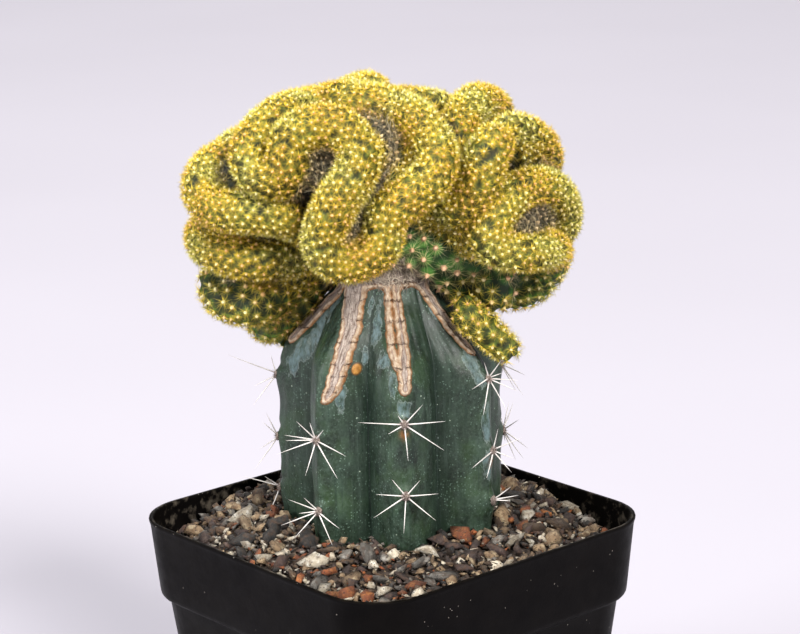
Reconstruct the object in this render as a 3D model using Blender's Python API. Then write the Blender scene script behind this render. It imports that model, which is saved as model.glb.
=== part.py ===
# Brain cactus: a crested mammillaria grafted on a seven-ribbed stock, in a square
# nursery pot filled with a gritty mix. One unit is one metre and +Z is up.
# The pot stands on z = 0 with its sides along X and Y, and one corner points at the
# viewer of the photo. The plant is turned to face that corner.
import math
import random

import bmesh
import bpy
import numpy as np
from mathutils import Matrix, Vector
from mathutils.bvhtree import BVHTree

MM = 0.001

# Pot, in millimetres; z is counted from the ground
POT_HEIGHT = 85.0
RIM_HALF = 45.0             # half the outer width at the rim
RIM_CORNER = 14.0           # corner radius there
BAND_HEIGHT = 19.0          # the wider collar under the rim
BAND_STEP = 1.7             # how far the wall steps in below the collar
BASE_HALF = 34.5
WALL = 1.2
FLOOR = 1.6
DRAIN_RADIUS = 3.5
DRAIN_SPREAD = 20.0         # four holes at (+-20, +-20) and one in the middle

# Filling
GAP = 0.3                   # left between pieces that only touch
BED_THICK = 2.6             # the stones are set in a bed of fines this thick
STONE_COUNT = 52
STONE_SIZES = (1.8, 2.2, 2.6, 3.1, 3.6)     # half-lengths of the stones
RING_POINTS = 48            # vertices round each ring of the filling

# Plant: the stock and the crest are given from the rim upwards
FACING = 49.3               # degrees that the plant is turned in its pot
RIB_COUNT = 7
GRAFT_HEIGHT = 61.4         # top of the stock above the rim
BURIED = 24.0               # length of the stock below the rim
ROLL_RADIUS = 4.4           # the rolls of the crest, without tubercles
TUBERCLE = 0.8              # height of one tubercle
CREST_FACES = 1700          # four-sided faces of the crest, each raised into a tubercle
NEEDLE_COUNT = 175
NEEDLE_LENGTH = (1.9, 2.5)
NEEDLE_RADIUS = 0.24
OPEN_ROOM = 6.0             # beyond this the far side of a fold no longer matters
VOXEL = 1.4                 # grain of the melted flesh

# The ridge line of each roll: right, front and up in millimetres from the middle of
# the rim. The rolls run on round the back in the same kind of folds.
ROLLS = {
    "left curl": [(-16, 13, 73), (-18, 17, 74.5), (-23, 20, 77), (-28, 21, 78),
                  (-34, 19, 78), (-38.5, 15, 79), (-40.5, 11, 82), (-39, 6, 85),
                  (-36, 0, 86), (-33, -6, 87.5), (-31, -12, 87)],
    "front meander": [(-15, -2, 96), (-18, 2, 97.5), (-22.5, 10, 97.5), (-26, 15, 95.5),
                      (-28.5, 19, 92.5), (-28.5, 22, 89), (-26, 24, 86.5),
                      (-22.5, 25, 87.5), (-20.5, 26, 91), (-20, 26, 94.5),
                      (-17, 26, 97), (-13.5, 26, 98), (-9, 27, 97.5),
                      (-6, 28, 94.5), (-5, 29, 91), (-6.5, 30, 87),
                      (-9.5, 31, 83), (-12, 31, 78.5), (-13.5, 30, 74),
                      (-12.5, 29, 70), (-8.5, 28, 68), (-4, 28, 69),
                      (-0.5, 28, 72), (0, 28, 76), (2, 28, 79.5), (5.5, 28, 82),
                      (9, 27, 84.5), (11.5, 25, 87), (12, 23, 90), (11, 20, 93),
                      (8.5, 16, 96), (5.5, 11, 97.5), (1.5, 7, 98.5), (-3, 4, 99),
                      (-8, 1, 99), (-11, -4, 98)],
    "right hook": [(26, -12, 94), (23.5, -6, 96.5), (20.5, 0, 97), (18, 6, 94.5),
                   (16.5, 10, 91), (15, 12, 87), (14.5, 14, 82.5), (15, 16, 79),
                   (17.5, 18, 77.5), (20, 20, 80), (22, 21, 84.5), (23, 21, 89),
                   (25, 19, 92.5), (28.5, 14, 94.5), (32.5, 8, 93), (36, 2, 89.5),
                   (38, -4, 85), (38, -10, 82)],
    "right curl": [(38.5, -8, 65), (41, -2, 68.5), (41, 2, 73.5), (39, 6, 78),
                   (35.5, 10, 80.5), (32, 14, 81), (28.5, 18, 79.5),
                   (25, 21, 76.5), (23.5, 22, 72.5), (25, 22, 69), (29, 21, 67.5),
                   (33.5, 17, 66.5), (37.5, 11, 66), (38.5, 4, 63.5), (37.5, 0, 59.5),
                   (36, -3, 56), (33, -5, 53), (29, -6, 52)],
    "low left one": [(-20, 6, 64.5), (-26.5, 12, 65), (-32.5, 13, 66), (-38.5, 9, 67),
                     (-41, 2, 69), (-38.5, -6, 71)],
    "low left two": [(-24, 1, 55), (-27, 5, 53.5), (-32, 6, 53), (-37, 3, 54),
                     (-39, -3, 56.5), (-36, -10, 58)],
    "low left three": [(-23, -2, 49), (-26, -4, 46.5), (-28.5, -8, 45.5), (-29, -14, 47)],
    "offset": [(19.5, 15.5, 51.5), (23.5, 15, 48.5), (27.5, 13.5, 45)],
    "top knot": [(-2, -5, 99.5), (-4, -12, 99), (-8, -18, 96), (-6, -24, 90),
                 (1, -22, 92), (4, -14, 95), (9, -9, 95.5), (13, -10, 94.5),
                 (14, -16, 92), (12, -22, 89)],
    "back right": [(20, -20, 92), (26, -18, 90), (31, -15, 86), (35, -17, 80),
                   (33, -21, 74), (27, -24, 73), (22, -27, 77), (17, -29, 83),
                   (11, -29, 85), (7, -30, 80), (9, -31, 73), (15, -29, 69),
                   (22, -26, 66), (30, -21, 62), (36, -14, 60)],
    "back left": [(-14, -14, 96), (-20, -10, 95), (-25, -13, 92), (-27, -18, 88),
                  (-22, -23, 87), (-15, -25, 89), (-9, -29, 86), (-4, -31, 80),
                  (-5, -31, 73), (-10, -30, 69), (-16, -28, 72), (-19, -26, 78),
                  (-25, -23, 81), (-31, -18, 81), (-35, -14, 77), (-33, -17, 70),
                  (-27, -22, 68), (-21, -25, 64), (-14, -27, 61)],
    "back low": [(-6, -26, 62), (1, -28, 65), (5, -29, 61), (2, -27, 56),
                 (-5, -25, 55), (-12, -23, 57)],
}

# Solid flesh that the rolls grow from: (right, front, up) and three half-widths
FLESH = [((0, -2, 79), (29, 19, 14)), ((2, 0, 69), (17, 14, 8)),
         ((16, 3, 66), (17, 12, 9)), ((-17, -3, 68), (15, 11, 8)),
         ((28, -4, 63), (10, 9, 10)), ((24, 9, 57.5), (4.5, 4.5, 6)),
         ((-17, 11, 86), (8, 8, 7)), ((3, 12, 89), (7, 7, 6)),
         ((33, 2, 73), (7, 7, 6)), ((-19, -3, 59.5), (8, 8, 6)), ((19, 3, 58.5), (7, 8, 6)),
         ((-21, -3, 53), (6.5, 6.5, 7))]
ROLL_DEPTH = 16.0           # how far the flesh under a ridge reaches inwards
ROLL_STEP = 2.2             # between one sunk copy of a roll and the next
FOOT = (10.2, 17.0, 12.0)   # cone above the graft: low radius, high radius, height
SHALLOW = {"offset": 5.0}   # the offset on the right is a short stub

# The stock's outline: height above the rim, radius on a rib, radius in a valley
STOCK_OUTLINE = [(-BURIED, 9.0, 8.2), (-18, 17.0, 14.4), (-5, 25.0, 18.0),
                 (4, 26.5, 18.8), (27, 26.6, 18.8), (34, 26.4, 18.8), (40, 25.2, 18.4),
                 (44, 22.6, 17.6), (48, 19.0, 16.0), (52, 15.6, 14.0),
                 (56, 12.4, 11.9), (61.4, 10.7, 10.5)]
STOCK_SHIFT = 1.1           # the stem stands a little to the right of the middle
RIB_ANGLES = (5.0, 55.5, 107.0, 158.0, 209.0, 266.0, 320.0)   # front = 0, right = 90
AREOLE_HEIGHTS = {0: (30.3, 13.5), 1: (37.0, 20.0, 8.0), 2: (34.0, 17.5),
                  3: (31.0, 14.5), 4: (35.5, 19.0), 5: (34.5, 19.3, 6.6),
                  6: (25.2, 8.2)}
SPINE_COUNT = 7
SPINE_LENGTH = (7.0, 10.0)
SPINE_RADIUS = 0.26
SCAR = (-24.0, 40.5)        # round cork scar: angle and height above the rim
# Cork left where the ribs were trimmed for grafting: rib, lower end, width, and the
# step to the right of the rib at its middle and at its lower end
CORK_STRIPS = [(0, 44.0, 2.0, -5.0, -3.0), (0, 36.0, 2.4, -1.0, 0.0),
               (1, 42.5, 2.6, 0.0, 0.0), (2, 42.0, 2.4, 0.0, 0.0),
               (3, 38.0, 2.6, 0.5, 0.0), (4, 41.0, 2.4, -0.5, 0.0),
               (5, 42.5, 2.6, 0.5, 0.0), (6, 31.5, 3.0, 3.0, 1.2)]


def material(name, colour, roughness):
    """A plain Principled material with one colour."""
    made = bpy.data.materials.new(name)
    made.use_nodes = True
    shader = made.node_tree.nodes["Principled BSDF"]
    shader.inputs["Base Color"].default_value = (*colour, 1.0)
    shader.inputs["Roughness"].default_value = roughness
    made.diffuse_color = (*colour, 1.0)
    return made


def add_object(name, bm, surface=None, smooth=False):
    """Turn a bmesh in millimetres into a named object in metres."""
    bmesh.ops.recalc_face_normals(bm, faces=bm.faces)
    bm.transform(Matrix.Scale(MM, 4))
    mesh = bpy.data.meshes.new(name)
    bm.to_mesh(mesh)
    bm.free()
    for face in mesh.polygons:
        face.use_smooth = smooth
    thing = bpy.data.objects.new(name, mesh)
    bpy.context.scene.collection.objects.link(thing)
    if surface:
        mesh.materials.append(surface)
    return thing


def bake(thing):
    """Replace an object's mesh with what its modifiers make of it."""
    shape = thing.evaluated_get(bpy.context.evaluated_depsgraph_get())
    mesh = bpy.data.meshes.new_from_object(shape)
    old = thing.data
    thing.modifiers.clear()
    thing.data = mesh
    bpy.data.meshes.remove(old)


def cut(thing, tool, operation="DIFFERENCE"):
    """Apply one exact Boolean and remove the tool."""
    step = thing.modifiers.new("cut", "BOOLEAN")
    step.operation = operation
    step.solver = "EXACT"
    step.object = tool
    bake(thing)
    bpy.data.objects.remove(tool)


def place(right, front, up):
    """A point of the plant in its own frame, where the front is -Y."""
    return Vector((right, -front, up))


def skin_of(thing, seen_from=None):
    """A search tree of an object's faces in millimetres, in another object's frame."""
    view = thing.matrix_world.copy()
    if seen_from:
        view = seen_from.matrix_world.inverted() @ view
    return BVHTree.FromPolygons([(view @ vertex.co) / MM for vertex in thing.data.vertices],
                                [tuple(face.vertices) for face in thing.data.polygons])


def plant_on(thing, plant):
    """Give a piece the plant's place and turn."""
    thing.parent = plant
    bpy.context.view_layer.update()
    return thing


def free_length(start, way, length, others, clear=0.7):
    """How long a spine can be before it comes close to another piece."""
    for skin in others:
        hit = skin.ray_cast(start, way, length + clear)
        if hit[0] is not None:
            length = min(length, hit[3] - clear)
        # a near miss beside the tip also counts
        for share in (0.5, 0.75, 1.0):
            near = skin.find_nearest(start + way * length * share, 0.5)
            if near[0] is not None:
                length = min(length, length * share - 0.6)
    return length


def fuse(thing, parts, solver="EXACT"):
    """Union many small solids with the body that they grow from."""
    group = bpy.data.collections.new("repeats")
    bpy.context.scene.collection.children.link(group)
    for part in parts:
        for home in list(part.users_collection):
            home.objects.unlink(part)
        group.objects.link(part)
    step = thing.modifiers.new("fuse", "BOOLEAN")
    step.operation = "UNION"
    step.solver = solver
    step.operand_type = "COLLECTION"
    step.collection = group
    bake(thing)
    for part in parts:
        bpy.data.objects.remove(part)
    bpy.data.collections.remove(group)


def bridge(bm, lower, upper):
    """Quads between two closed rings that hold the same number of vertices."""
    count = len(lower)
    for k in range(count):
        j = (k + 1) % count
        bm.faces.new((lower[k], lower[j], upper[j], upper[k]))


def loft(rings):
    """A closed solid through rings of points, capped at both ends."""
    bm = bmesh.new()
    rows = [[bm.verts.new(point) for point in ring] for ring in rings]
    for lower, upper in zip(rows, rows[1:]):
        bridge(bm, lower, upper)
    bm.faces.new(rows[0][::-1])
    bm.faces.new(rows[-1])
    return bm


# Pot

def rounded_square(half, corner, z, steps=5):
    """Points round a square with rounded corners, at height z."""
    points = []
    for quarter in range(4):
        turn = math.pi / 2 * quarter
        middle = Vector((half - corner, half - corner, 0))
        for k in range(steps + 1):
            angle = math.pi / 2 * k / steps
            arc = middle + Vector((math.cos(angle), math.sin(angle), 0)) * corner
            x = arc.x * math.cos(turn) - arc.y * math.sin(turn)
            y = arc.x * math.sin(turn) + arc.y * math.cos(turn)
            points.append((x, y, z))
    return points


def pot_inside(z):
    """Half-width and corner radius of the pot's inner wall at height z."""
    band = POT_HEIGHT - BAND_HEIGHT
    levels = [(FLOOR, BASE_HALF - WALL - 0.1, 9.8), (band - 1.6, 40.4, 12.0),
              (band + 0.6, 42.3, 12.7), (POT_HEIGHT, 43.9, 13.2)]
    heights = [level[0] for level in levels]
    return (float(np.interp(z, heights, [level[1] for level in levels])),
            float(np.interp(z, heights, [level[2] for level in levels])))


def make_pot(surface):
    top = POT_HEIGHT
    band = top - BAND_HEIGHT
    outside = [(BASE_HALF - 0.6, 10.6, 0.0), (BASE_HALF, 11.0, 0.8),
               (RIM_HALF - 1.6 - BAND_STEP, 13.0, band - 1.2),
               (RIM_HALF - 1.9, 13.7, band), (RIM_HALF - 1.4, 13.9, band + 1.2),
               (RIM_HALF - 0.2, RIM_CORNER, top - 1.2), (RIM_HALF, RIM_CORNER, top - 0.6),
               (RIM_HALF - 0.3, 13.8, top)]
    inside = [(*pot_inside(z), z) for z in (top, top - 1.2, band + 0.6, band - 1.6, FLOOR)]
    rings = [rounded_square(half, corner, z) for half, corner, z in outside + inside]
    pot = add_object("pot", loft(rings), surface)
    spots = [(0, 0)] + [(x * DRAIN_SPREAD, y * DRAIN_SPREAD) for x in (-1, 1) for y in (-1, 1)]
    for x, y in spots:
        drill = bmesh.new()
        bmesh.ops.create_cone(drill, cap_ends=True, segments=16, radius1=DRAIN_RADIUS,
                              radius2=DRAIN_RADIUS, depth=4 * FLOOR)
        bmesh.ops.translate(drill, verts=drill.verts, vec=(x, y, FLOOR / 2))
        cut(pot, add_object("drill", drill))
    return pot


# Filling

def to_plant(x, y):
    """Right and front of a place in the pot, as the plant sees it."""
    turn = math.radians(-FACING)
    return (x * math.cos(turn) - y * math.sin(turn),
            -(x * math.sin(turn) + y * math.cos(turn)))


def surface_height(x, y):
    """The stones lie level with the rim and fall away into two corners."""
    right, front = to_plant(x, y)
    def ramp(value, start, end):
        t = min(max((value - start) / (end - start), 0.0), 1.0)
        return t * t * (3 - 2 * t)
    away = (5.8 * ramp(abs(right), 34, 56) + 2.8 * ramp(math.hypot(right, front), 27, 46)
            + 0.6 * ramp(abs(front), 40, 56))
    return POT_HEIGHT + 0.8 - away + 0.3 * math.sin(0.31 * x) * math.cos(0.27 * y)


def even_ring(half, corner, z, count=RING_POINTS):
    """Points at even steps round the pot's rounded square."""
    outline = rounded_square(half, corner, z, 12)
    lengths = [math.dist(outline[k], outline[(k + 1) % len(outline)]) for k in range(len(outline))]
    step, walked, k, points = sum(lengths) / count, 0.0, 0, []
    for j in range(count):
        target = j * step
        while walked + lengths[k] < target - 1e-9:
            walked += lengths[k]
            k += 1
        share = (target - walked) / lengths[k]
        points.append(Vector(outline[k]).lerp(Vector(outline[(k + 1) % len(outline)]), share))
    return points


def fill_rings(bm, height, spans, jitter=0.0):
    """Rings of vertices across the filling, from the middle to the pot's wall."""
    dice = random.Random(4)
    rings = []
    for span in spans:
        wide, corner = pot_inside(height(0, 43 * span))
        ring = []
        for point in even_ring(wide - GAP, corner - GAP, 0.0):
            if span == 1.0:
                # the outermost ring follows the wall at the height reached there
                wide_here, corner_here = pot_inside(height(point.x, point.y))
                share = (wide_here - GAP) / (wide - GAP)
                x, y = point.x * share, point.y * share
            else:
                x = point.x * span + dice.uniform(-jitter, jitter)
                y = point.y * span + dice.uniform(-jitter, jitter)
            ring.append(bm.verts.new((x, y, height(x, y))))
        rings.append(ring)
    return rings


def cover(bm, rings, height, quads=False):
    """Faces from ring to ring and round the middle."""
    made = []
    for inner, outer in zip(rings, rings[1:]):
        for k in range(len(inner)):
            j = (k + 1) % len(inner)
            if quads:
                made.append(bm.faces.new((inner[k], inner[j], outer[j], outer[k])))
            else:
                bm.faces.new((inner[k], inner[j], outer[j]))
                bm.faces.new((inner[k], outer[j], outer[k]))
    middle = bm.verts.new((0, 0, height(0, 0)))
    for k in range(len(rings[0])):
        bm.faces.new((rings[0][k], rings[0][(k + 1) % len(rings[0])], middle))
    return made


def make_bed(surface):
    """The gravel's bed: small grit above, a plain underside."""
    def under(x, y):
        return surface_height(x, y) - BED_THICK

    bm = bmesh.new()
    dice = random.Random(2)
    top = fill_rings(bm, surface_height, (0.5, 0.6, 0.7, 0.8, 0.9, 1.0), 0.7)
    low = fill_rings(bm, under, (0.5, 0.75, 1.0))
    grit = cover(bm, top, surface_height, quads=True)
    cover(bm, low, under)
    bridge(bm, low[-1], top[-1])
    for face in grit:
        middle = face.calc_center_median()
        made = bmesh.ops.poke(bm, faces=[face])
        made["verts"][0].co = middle + Vector((0, 0, dice.uniform(0.3, 1.5)))
    return add_object("gravel", bm, surface)


def stone(spot, size, flat, turn, dice, bed_skin):
    """One angular stone: a chipped block that stays above the bed's underside."""
    bm = bmesh.new()
    if size > 2.4:
        bmesh.ops.create_icosphere(bm, subdivisions=1, radius=1.0)
    else:
        bmesh.ops.create_cone(bm, cap_ends=True, segments=5, radius1=1.0, radius2=0.62, depth=1.7)
    for vertex in bm.verts:
        vertex.co *= dice.uniform(0.82, 1.12)
    stretch = Matrix.Diagonal((size * dice.uniform(1.0, 1.35), size * dice.uniform(0.8, 1.0),
                               size * flat, 1.0))
    bm.transform(Matrix.Translation(spot) @ Matrix.Rotation(turn, 4, "Z") @ stretch)
    for k, vertex in enumerate(bm.verts):
        below = bed_skin.ray_cast(Vector((vertex.co.x, vertex.co.y, 0)), Vector((0, 0, 1)))[0]
        if below is not None:
            vertex.co.z = max(vertex.co.z, below.z + 0.45 + 0.03 * k)
    return add_object("stone", bm)


def make_gravel(surface, plant):
    """Stones of two to seven millimetres set in a thin bed of fines."""
    dice = random.Random(12)
    down = Vector((0, 0, -1))
    bed = make_bed(surface)
    bed_skin = skin_of(bed)
    stones, placed = [], []
    tries = 0
    while len(placed) < STONE_COUNT and tries < 20000:
        tries += 1
        size = dice.choice(STONE_SIZES)
        x, y = dice.uniform(-43, 43), dice.uniform(-43, 43)
        right, front = to_plant(x, y)
        distance = math.hypot(right, front)
        z = bed_skin.ray_cast(Vector((x, y, POT_HEIGHT)), down)[0]
        if z is None:
            continue
        z = z.z
        half, corner = pot_inside(z)
        reach = size * 1.4 + GAP + 0.35
        inner = half - reach
        over = max(abs(x) - (half - corner), 0), max(abs(y) - (half - corner), 0)
        if max(abs(x), abs(y)) > inner or math.hypot(*over) > corner - reach:
            continue
        if distance < stock_radius(math.atan2(right, front), -1.0) + reach + STOCK_SHIFT:
            continue
        if any(math.hypot(x - a, y - b) < 0.84 * (size + c) for a, b, c in placed):
            continue
        placed.append((x, y, size))
        flat = dice.uniform(0.65, 0.85) if size < 2.5 else dice.uniform(0.5, 0.6)
        stones.append(stone((x, y, z + 0.05 * size), size, flat,
                            dice.uniform(0, math.pi), dice, bed_skin))
    cut(bed, plant_on(stock_solid("hole", 2 * GAP), plant))
    fuse(bed, stones)
    return bed


def make_soil(surface, plant):
    """The mix below the stones, from the pot's floor up."""
    def over(x, y):
        return surface_height(x, y) - BED_THICK - 1.5 * GAP

    bm = bmesh.new()
    top = fill_rings(bm, over, (0.5, 0.75, 1.0))
    cover(bm, top, over)
    walls = [[bm.verts.new(point) for point in even_ring(half - GAP, corner - GAP, z)]
             for half, corner, z in [(*pot_inside(z), z) for z in
                                     (POT_HEIGHT - BAND_HEIGHT - 1.6 - GAP, FLOOR + GAP)]]
    bridge(bm, walls[0], top[-1])
    bridge(bm, walls[1], walls[0])
    bm.faces.new(walls[1])
    soil = add_object("soil", bm, surface)
    cut(soil, plant_on(stock_solid("hole", 2 * GAP), plant))
    return soil


# Stock

def stock_radius(angle, up, extra=0.0):
    """Radius of the ribbed stem; the angle runs from the front to the right."""
    heights = [row[0] for row in STOCK_OUTLINE]
    # the right shoulder sits lower than the left one
    tilt = 1.5 * math.sin(angle) * max(0.0, math.sin(math.pi * min(max((up - 24) / 37.4, 0), 1)))
    level = up + tilt
    rib = float(np.interp(level, heights, [row[1] for row in STOCK_OUTLINE]))
    valley = float(np.interp(level, heights, [row[2] for row in STOCK_OUTLINE]))
    turned = math.degrees(angle) % 360.0
    stops = [RIB_ANGLES[-1] - 360.0, *RIB_ANGLES, RIB_ANGLES[0] + 360.0]
    phase = float(np.interp(turned, stops, range(len(stops))))
    off = abs(phase - round(phase)) * 2.0          # 0 on a rib, 1 in a valley
    share = 1.0 - off ** 1.25
    return valley + (rib - valley) * share + extra


def stock_ring(up, extra=0.0, per_rib=6):
    points = []
    for k, start in enumerate(RIB_ANGLES):
        end = RIB_ANGLES[k + 1] if k + 1 < RIB_COUNT else RIB_ANGLES[0] + 360.0
        for j in range(per_rib):
            angle = math.radians(start + (end - start) * j / per_rib)
            radius = stock_radius(angle, up, extra)
            points.append(place(radius * math.sin(angle) + STOCK_SHIFT,
                                radius * math.cos(angle), up))
    return points


def stock_solid(name, extra, surface=None):
    rings = [stock_ring(row[0], extra) for row in STOCK_OUTLINE]
    if extra:
        bottom = [Vector((point.x, point.y, point.z - extra)) for point in rings[0]]
        rings.insert(0, bottom)
    return add_object(name, loft(rings), surface)


def on_stock(angle, up):
    """A point on the stem's skin."""
    radius = stock_radius(angle, up)
    return place(radius * math.sin(angle) + STOCK_SHIFT, radius * math.cos(angle), up)


def outward(angle, up):
    """The stem's outward direction on a rib, from its own slope."""
    lower, upper = stock_radius(angle, up - 1.0), stock_radius(angle, up + 1.0)
    slope = (lower - upper) / 2.0
    return place(math.sin(angle), math.cos(angle), slope).normalized()


def sideways(angle):
    """The direction that runs round the stem, to the right as seen from outside."""
    return place(math.cos(angle), -math.sin(angle), 0.0)


def cork_strip(rib, low, width, side, end_side):
    """A raised bar of cork that runs down a rib from the collar."""
    angle0 = math.radians(RIB_ANGLES[rib])
    rings = []
    count = 6
    for k in range(count):
        t = k / (count - 1)
        up = GRAFT_HEIGHT - 2.2 + (low - GRAFT_HEIGHT + 2.2) * t
        spread = 2 * side * t * (1 - t) * 2 + end_side * t * t
        radius = stock_radius(angle0, up)
        angle = angle0 + spread / radius
        middle = on_stock(angle, up)
        out = outward(angle, up)
        along = sideways(angle)
        half = width / 2 * (0.62 if k in (0, count - 1) else 1.0)
        lift = 0.55 if k in (0, count - 1) else 0.8
        corners = [(-1.0, -1.4), (-0.8, 0.85), (0.8, 0.85), (1.0, -1.4)]
        rings.append([middle + along * half * a + out * (b * lift if b > 0 else b)
                      for a, b in corners])
    return add_object("cork", loft(rings))


def spike(base, tip, radius, sides=3):
    """A straight needle with a few sides, from its sunk root to its tip."""
    axis = (tip - base).normalized()
    side = axis.cross(Vector((0, 0, 1)) if abs(axis.z) < 0.9 else Vector((1, 0, 0))).normalized()
    other = axis.cross(side)
    bm = bmesh.new()
    ring = [bm.verts.new(base + (side * math.cos(2 * math.pi * k / sides)
                                 + other * math.sin(2 * math.pi * k / sides)) * radius)
            for k in range(sides)]
    point = bm.verts.new(tip)
    for k in range(sides):
        bm.faces.new((ring[k], ring[(k + 1) % sides], point))
    bm.faces.new(ring[::-1])
    return add_object("spine", bm)


def pad(middle, out, radius, height):
    """A low woolly cushion."""
    bm = bmesh.new()
    bmesh.ops.create_cone(bm, cap_ends=True, segments=7, radius1=1.0, radius2=0.45, depth=2.0)
    turn = out.to_track_quat("Z", "Y").to_matrix().to_4x4()
    bm.transform(Matrix.Translation(middle) @ turn @ Matrix.Diagonal((radius, radius, height, 1)))
    return add_object("pad", bm)


def make_stock(surface, plant, others):
    """The ribbed stem with its cork, cushions, round scar and spines in one piece."""
    dice = random.Random(5)
    stem = stock_solid("rootstock", 0.0, surface)
    fuse(stem, [cork_strip(*row) for row in CORK_STRIPS])
    cushions, spines = [], []
    for rib, heights in AREOLE_HEIGHTS.items():
        angle = math.radians(RIB_ANGLES[rib])
        for up in heights:
            seat = on_stock(angle, up)
            out = outward(angle, up)
            along = sideways(angle)
            rise = out.cross(along).normalized()
            cushions.append(pad(seat, out, 1.35, 0.8))
            for k in range(SPINE_COUNT):
                around = 2 * math.pi * (k + dice.uniform(-0.2, 0.2)) / SPINE_COUNT
                length = dice.uniform(*SPINE_LENGTH)
                lean = dice.uniform(0.28, 0.55)
                way = (along * math.cos(around) + rise * math.sin(around) + out * lean).normalized()
                start = seat + out * 0.9 + way * 0.9
                length = free_length(start, way, length, others)
                if length < 2.5:
                    continue
                root = seat - out * 1.2 + way * 0.8
                spines.append(spike(root, start + way * (length - 0.9), SPINE_RADIUS))
    angle, up = math.radians(SCAR[0]), SCAR[1]
    cushions.append(pad(on_stock(angle, up), outward(angle, up), 1.3, 0.7))
    fuse(stem, cushions)
    fuse(stem, spines, "MANIFOLD")
    return plant_on(stem, plant)


# Crest

def smooth_path(points, step=1.1):
    """A flowing line through the traced points."""
    p = np.array(points, float)
    q = np.vstack([2 * p[0] - p[1], p, 2 * p[-1] - p[-2]])
    line = []
    for i in range(1, len(q) - 2):
        a, b, c, d = q[i - 1:i + 3]
        count = max(2, int(np.linalg.norm(c - b) / step))
        for t in np.arange(count) / count:
            line.append(0.5 * (2 * b + (c - a) * t + (2 * a - 5 * b + 4 * c - d) * t ** 2
                               + (3 * b - a - 3 * c + d) * t ** 3))
    line.append(q[-2])
    return np.array(line)


def heart_of(point):
    """Where the flesh under a point of the ridge leads to, near the graft."""
    return np.array([0.42 * point[0], 0.30 * point[1], max(70 + 0.45 * (point[2] - 75), 69.0)])


def add_ball(bm, middle, radii, level=3):
    made = bmesh.ops.create_icosphere(bm, subdivisions=level, radius=1.0)
    bmesh.ops.transform(bm, matrix=Matrix.Translation(middle) @ Matrix.Diagonal((*radii, 1)),
                        verts=made["verts"])


def add_tube(bm, line, radius, sides=12):
    """Rings swept along a line, closed at both ends."""
    rows = []
    for k, point in enumerate(line):
        ahead = line[min(k + 1, len(line) - 1)] - line[max(k - 1, 0)]
        axis = Vector(ahead).normalized()
        side = axis.cross(Vector((0.13, 0.29, 1))).normalized()
        other = axis.cross(side)
        rows.append([bm.verts.new(Vector(point) + (side * math.cos(2 * math.pi * j / sides)
                                                   + other * math.sin(2 * math.pi * j / sides)) * radius)
                     for j in range(sides)])
    for lower, upper in zip(rows, rows[1:]):
        bridge(bm, lower, upper)
    bm.faces.new(rows[0][::-1])
    bm.faces.new(rows[-1])


def crest_mass():
    """Every roll and the flesh under it, melted into one closed skin."""
    bm = bmesh.new()
    for name, points in ROLLS.items():
        line = smooth_path(points)
        hearts = np.array([heart_of(point) for point in line])
        depth = np.linalg.norm(line - hearts, axis=1)[:, None]
        for sunk in np.arange(0.0, SHALLOW.get(name, ROLL_DEPTH), ROLL_STEP):
            share = np.minimum(sunk / depth, 0.9)
            inner = line * (1 - share) + hearts * share
            add_tube(bm, [place(*point) for point in inner], ROLL_RADIUS * (1 - 0.02 * sunk))
        for end in (line[0], line[-1]):
            add_ball(bm, place(*end), (ROLL_RADIUS,) * 3)
    for middle, radii in FLESH:
        add_ball(bm, place(*middle), radii, 4)
    foot = bmesh.ops.create_cone(bm, cap_ends=True, segments=32, radius1=FOOT[0],
                                 radius2=FOOT[1], depth=FOOT[2])
    lift = GRAFT_HEIGHT + 2 * GAP + FOOT[2] / 2
    bmesh.ops.translate(bm, verts=foot["verts"], vec=(0, 0, lift))
    mass = add_object("crest", bm)
    melt = mass.modifiers.new("melt", "REMESH")
    melt.mode = "VOXEL"
    melt.voxel_size = VOXEL * MM
    bake(mass)
    return mass


def clear_stock(bm, margin):
    """Push the flesh off the stock, outwards beside it and upwards above the graft."""
    floor = GRAFT_HEIGHT + GAP
    for vertex in bm.verts:
        right, front, up = vertex.co.x - STOCK_SHIFT, -vertex.co.y, vertex.co.z
        if up >= floor:
            continue
        radius, angle = math.hypot(right, front), math.atan2(right, front)
        needed = max(stock_radius(angle, up), stock_radius(angle, up - 1.5)) + margin
        if radius >= needed:
            continue
        if floor - up < needed - radius and radius < 11.5:
            vertex.co.z = floor
        else:
            vertex.co = place(needed * math.sin(angle) + STOCK_SHIFT,
                              needed * math.cos(angle), up)
    # an edge may still cut the corner of the collar between two clear ends
    for _ in range(8):
        for edge in bm.edges:
            a, b = edge.verts
            for share in (0.25, 0.5, 0.75):
                seen = a.co.lerp(b.co, share) - Vector((STOCK_SHIFT, 0, 0))
                up, angle = seen.z, math.atan2(seen.x, -seen.y)
                short = stock_radius(angle, up) + 0.6 * margin - math.hypot(seen.x, seen.y)
                if up < floor - 0.1 and short > 0:
                    away = place(math.sin(angle), math.cos(angle), 0.8)
                    for vertex in (a, b):
                        vertex.co += away * 0.35


def keep_largest(bm):
    """Drop crumbs and inner pockets that the melting leaves."""
    groups, seen = [], set()
    for start in bm.verts:
        if start in seen:
            continue
        seen.add(start)
        stack, group = [start], []
        while stack:
            vertex = stack.pop()
            group.append(vertex)
            for edge in vertex.link_edges:
                other = edge.other_vert(vertex)
                if other not in seen:
                    seen.add(other)
                    stack.append(other)
        groups.append(group)
    groups.sort(key=len, reverse=True)
    for group in groups[1:]:
        bmesh.ops.delete(bm, geom=group, context="VERTS")


def crossing_faces(bm):
    """Pairs of faces that cut through each other without sharing a vertex."""
    bm.faces.ensure_lookup_table()
    tree = BVHTree.FromBMesh(bm)
    bad = set()
    for a, b in tree.overlap(tree):
        if a < b:
            first, second = bm.faces[a], bm.faces[b]
            if not set(first.verts) & set(second.verts):
                bad.update((a, b))
    return bad


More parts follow.
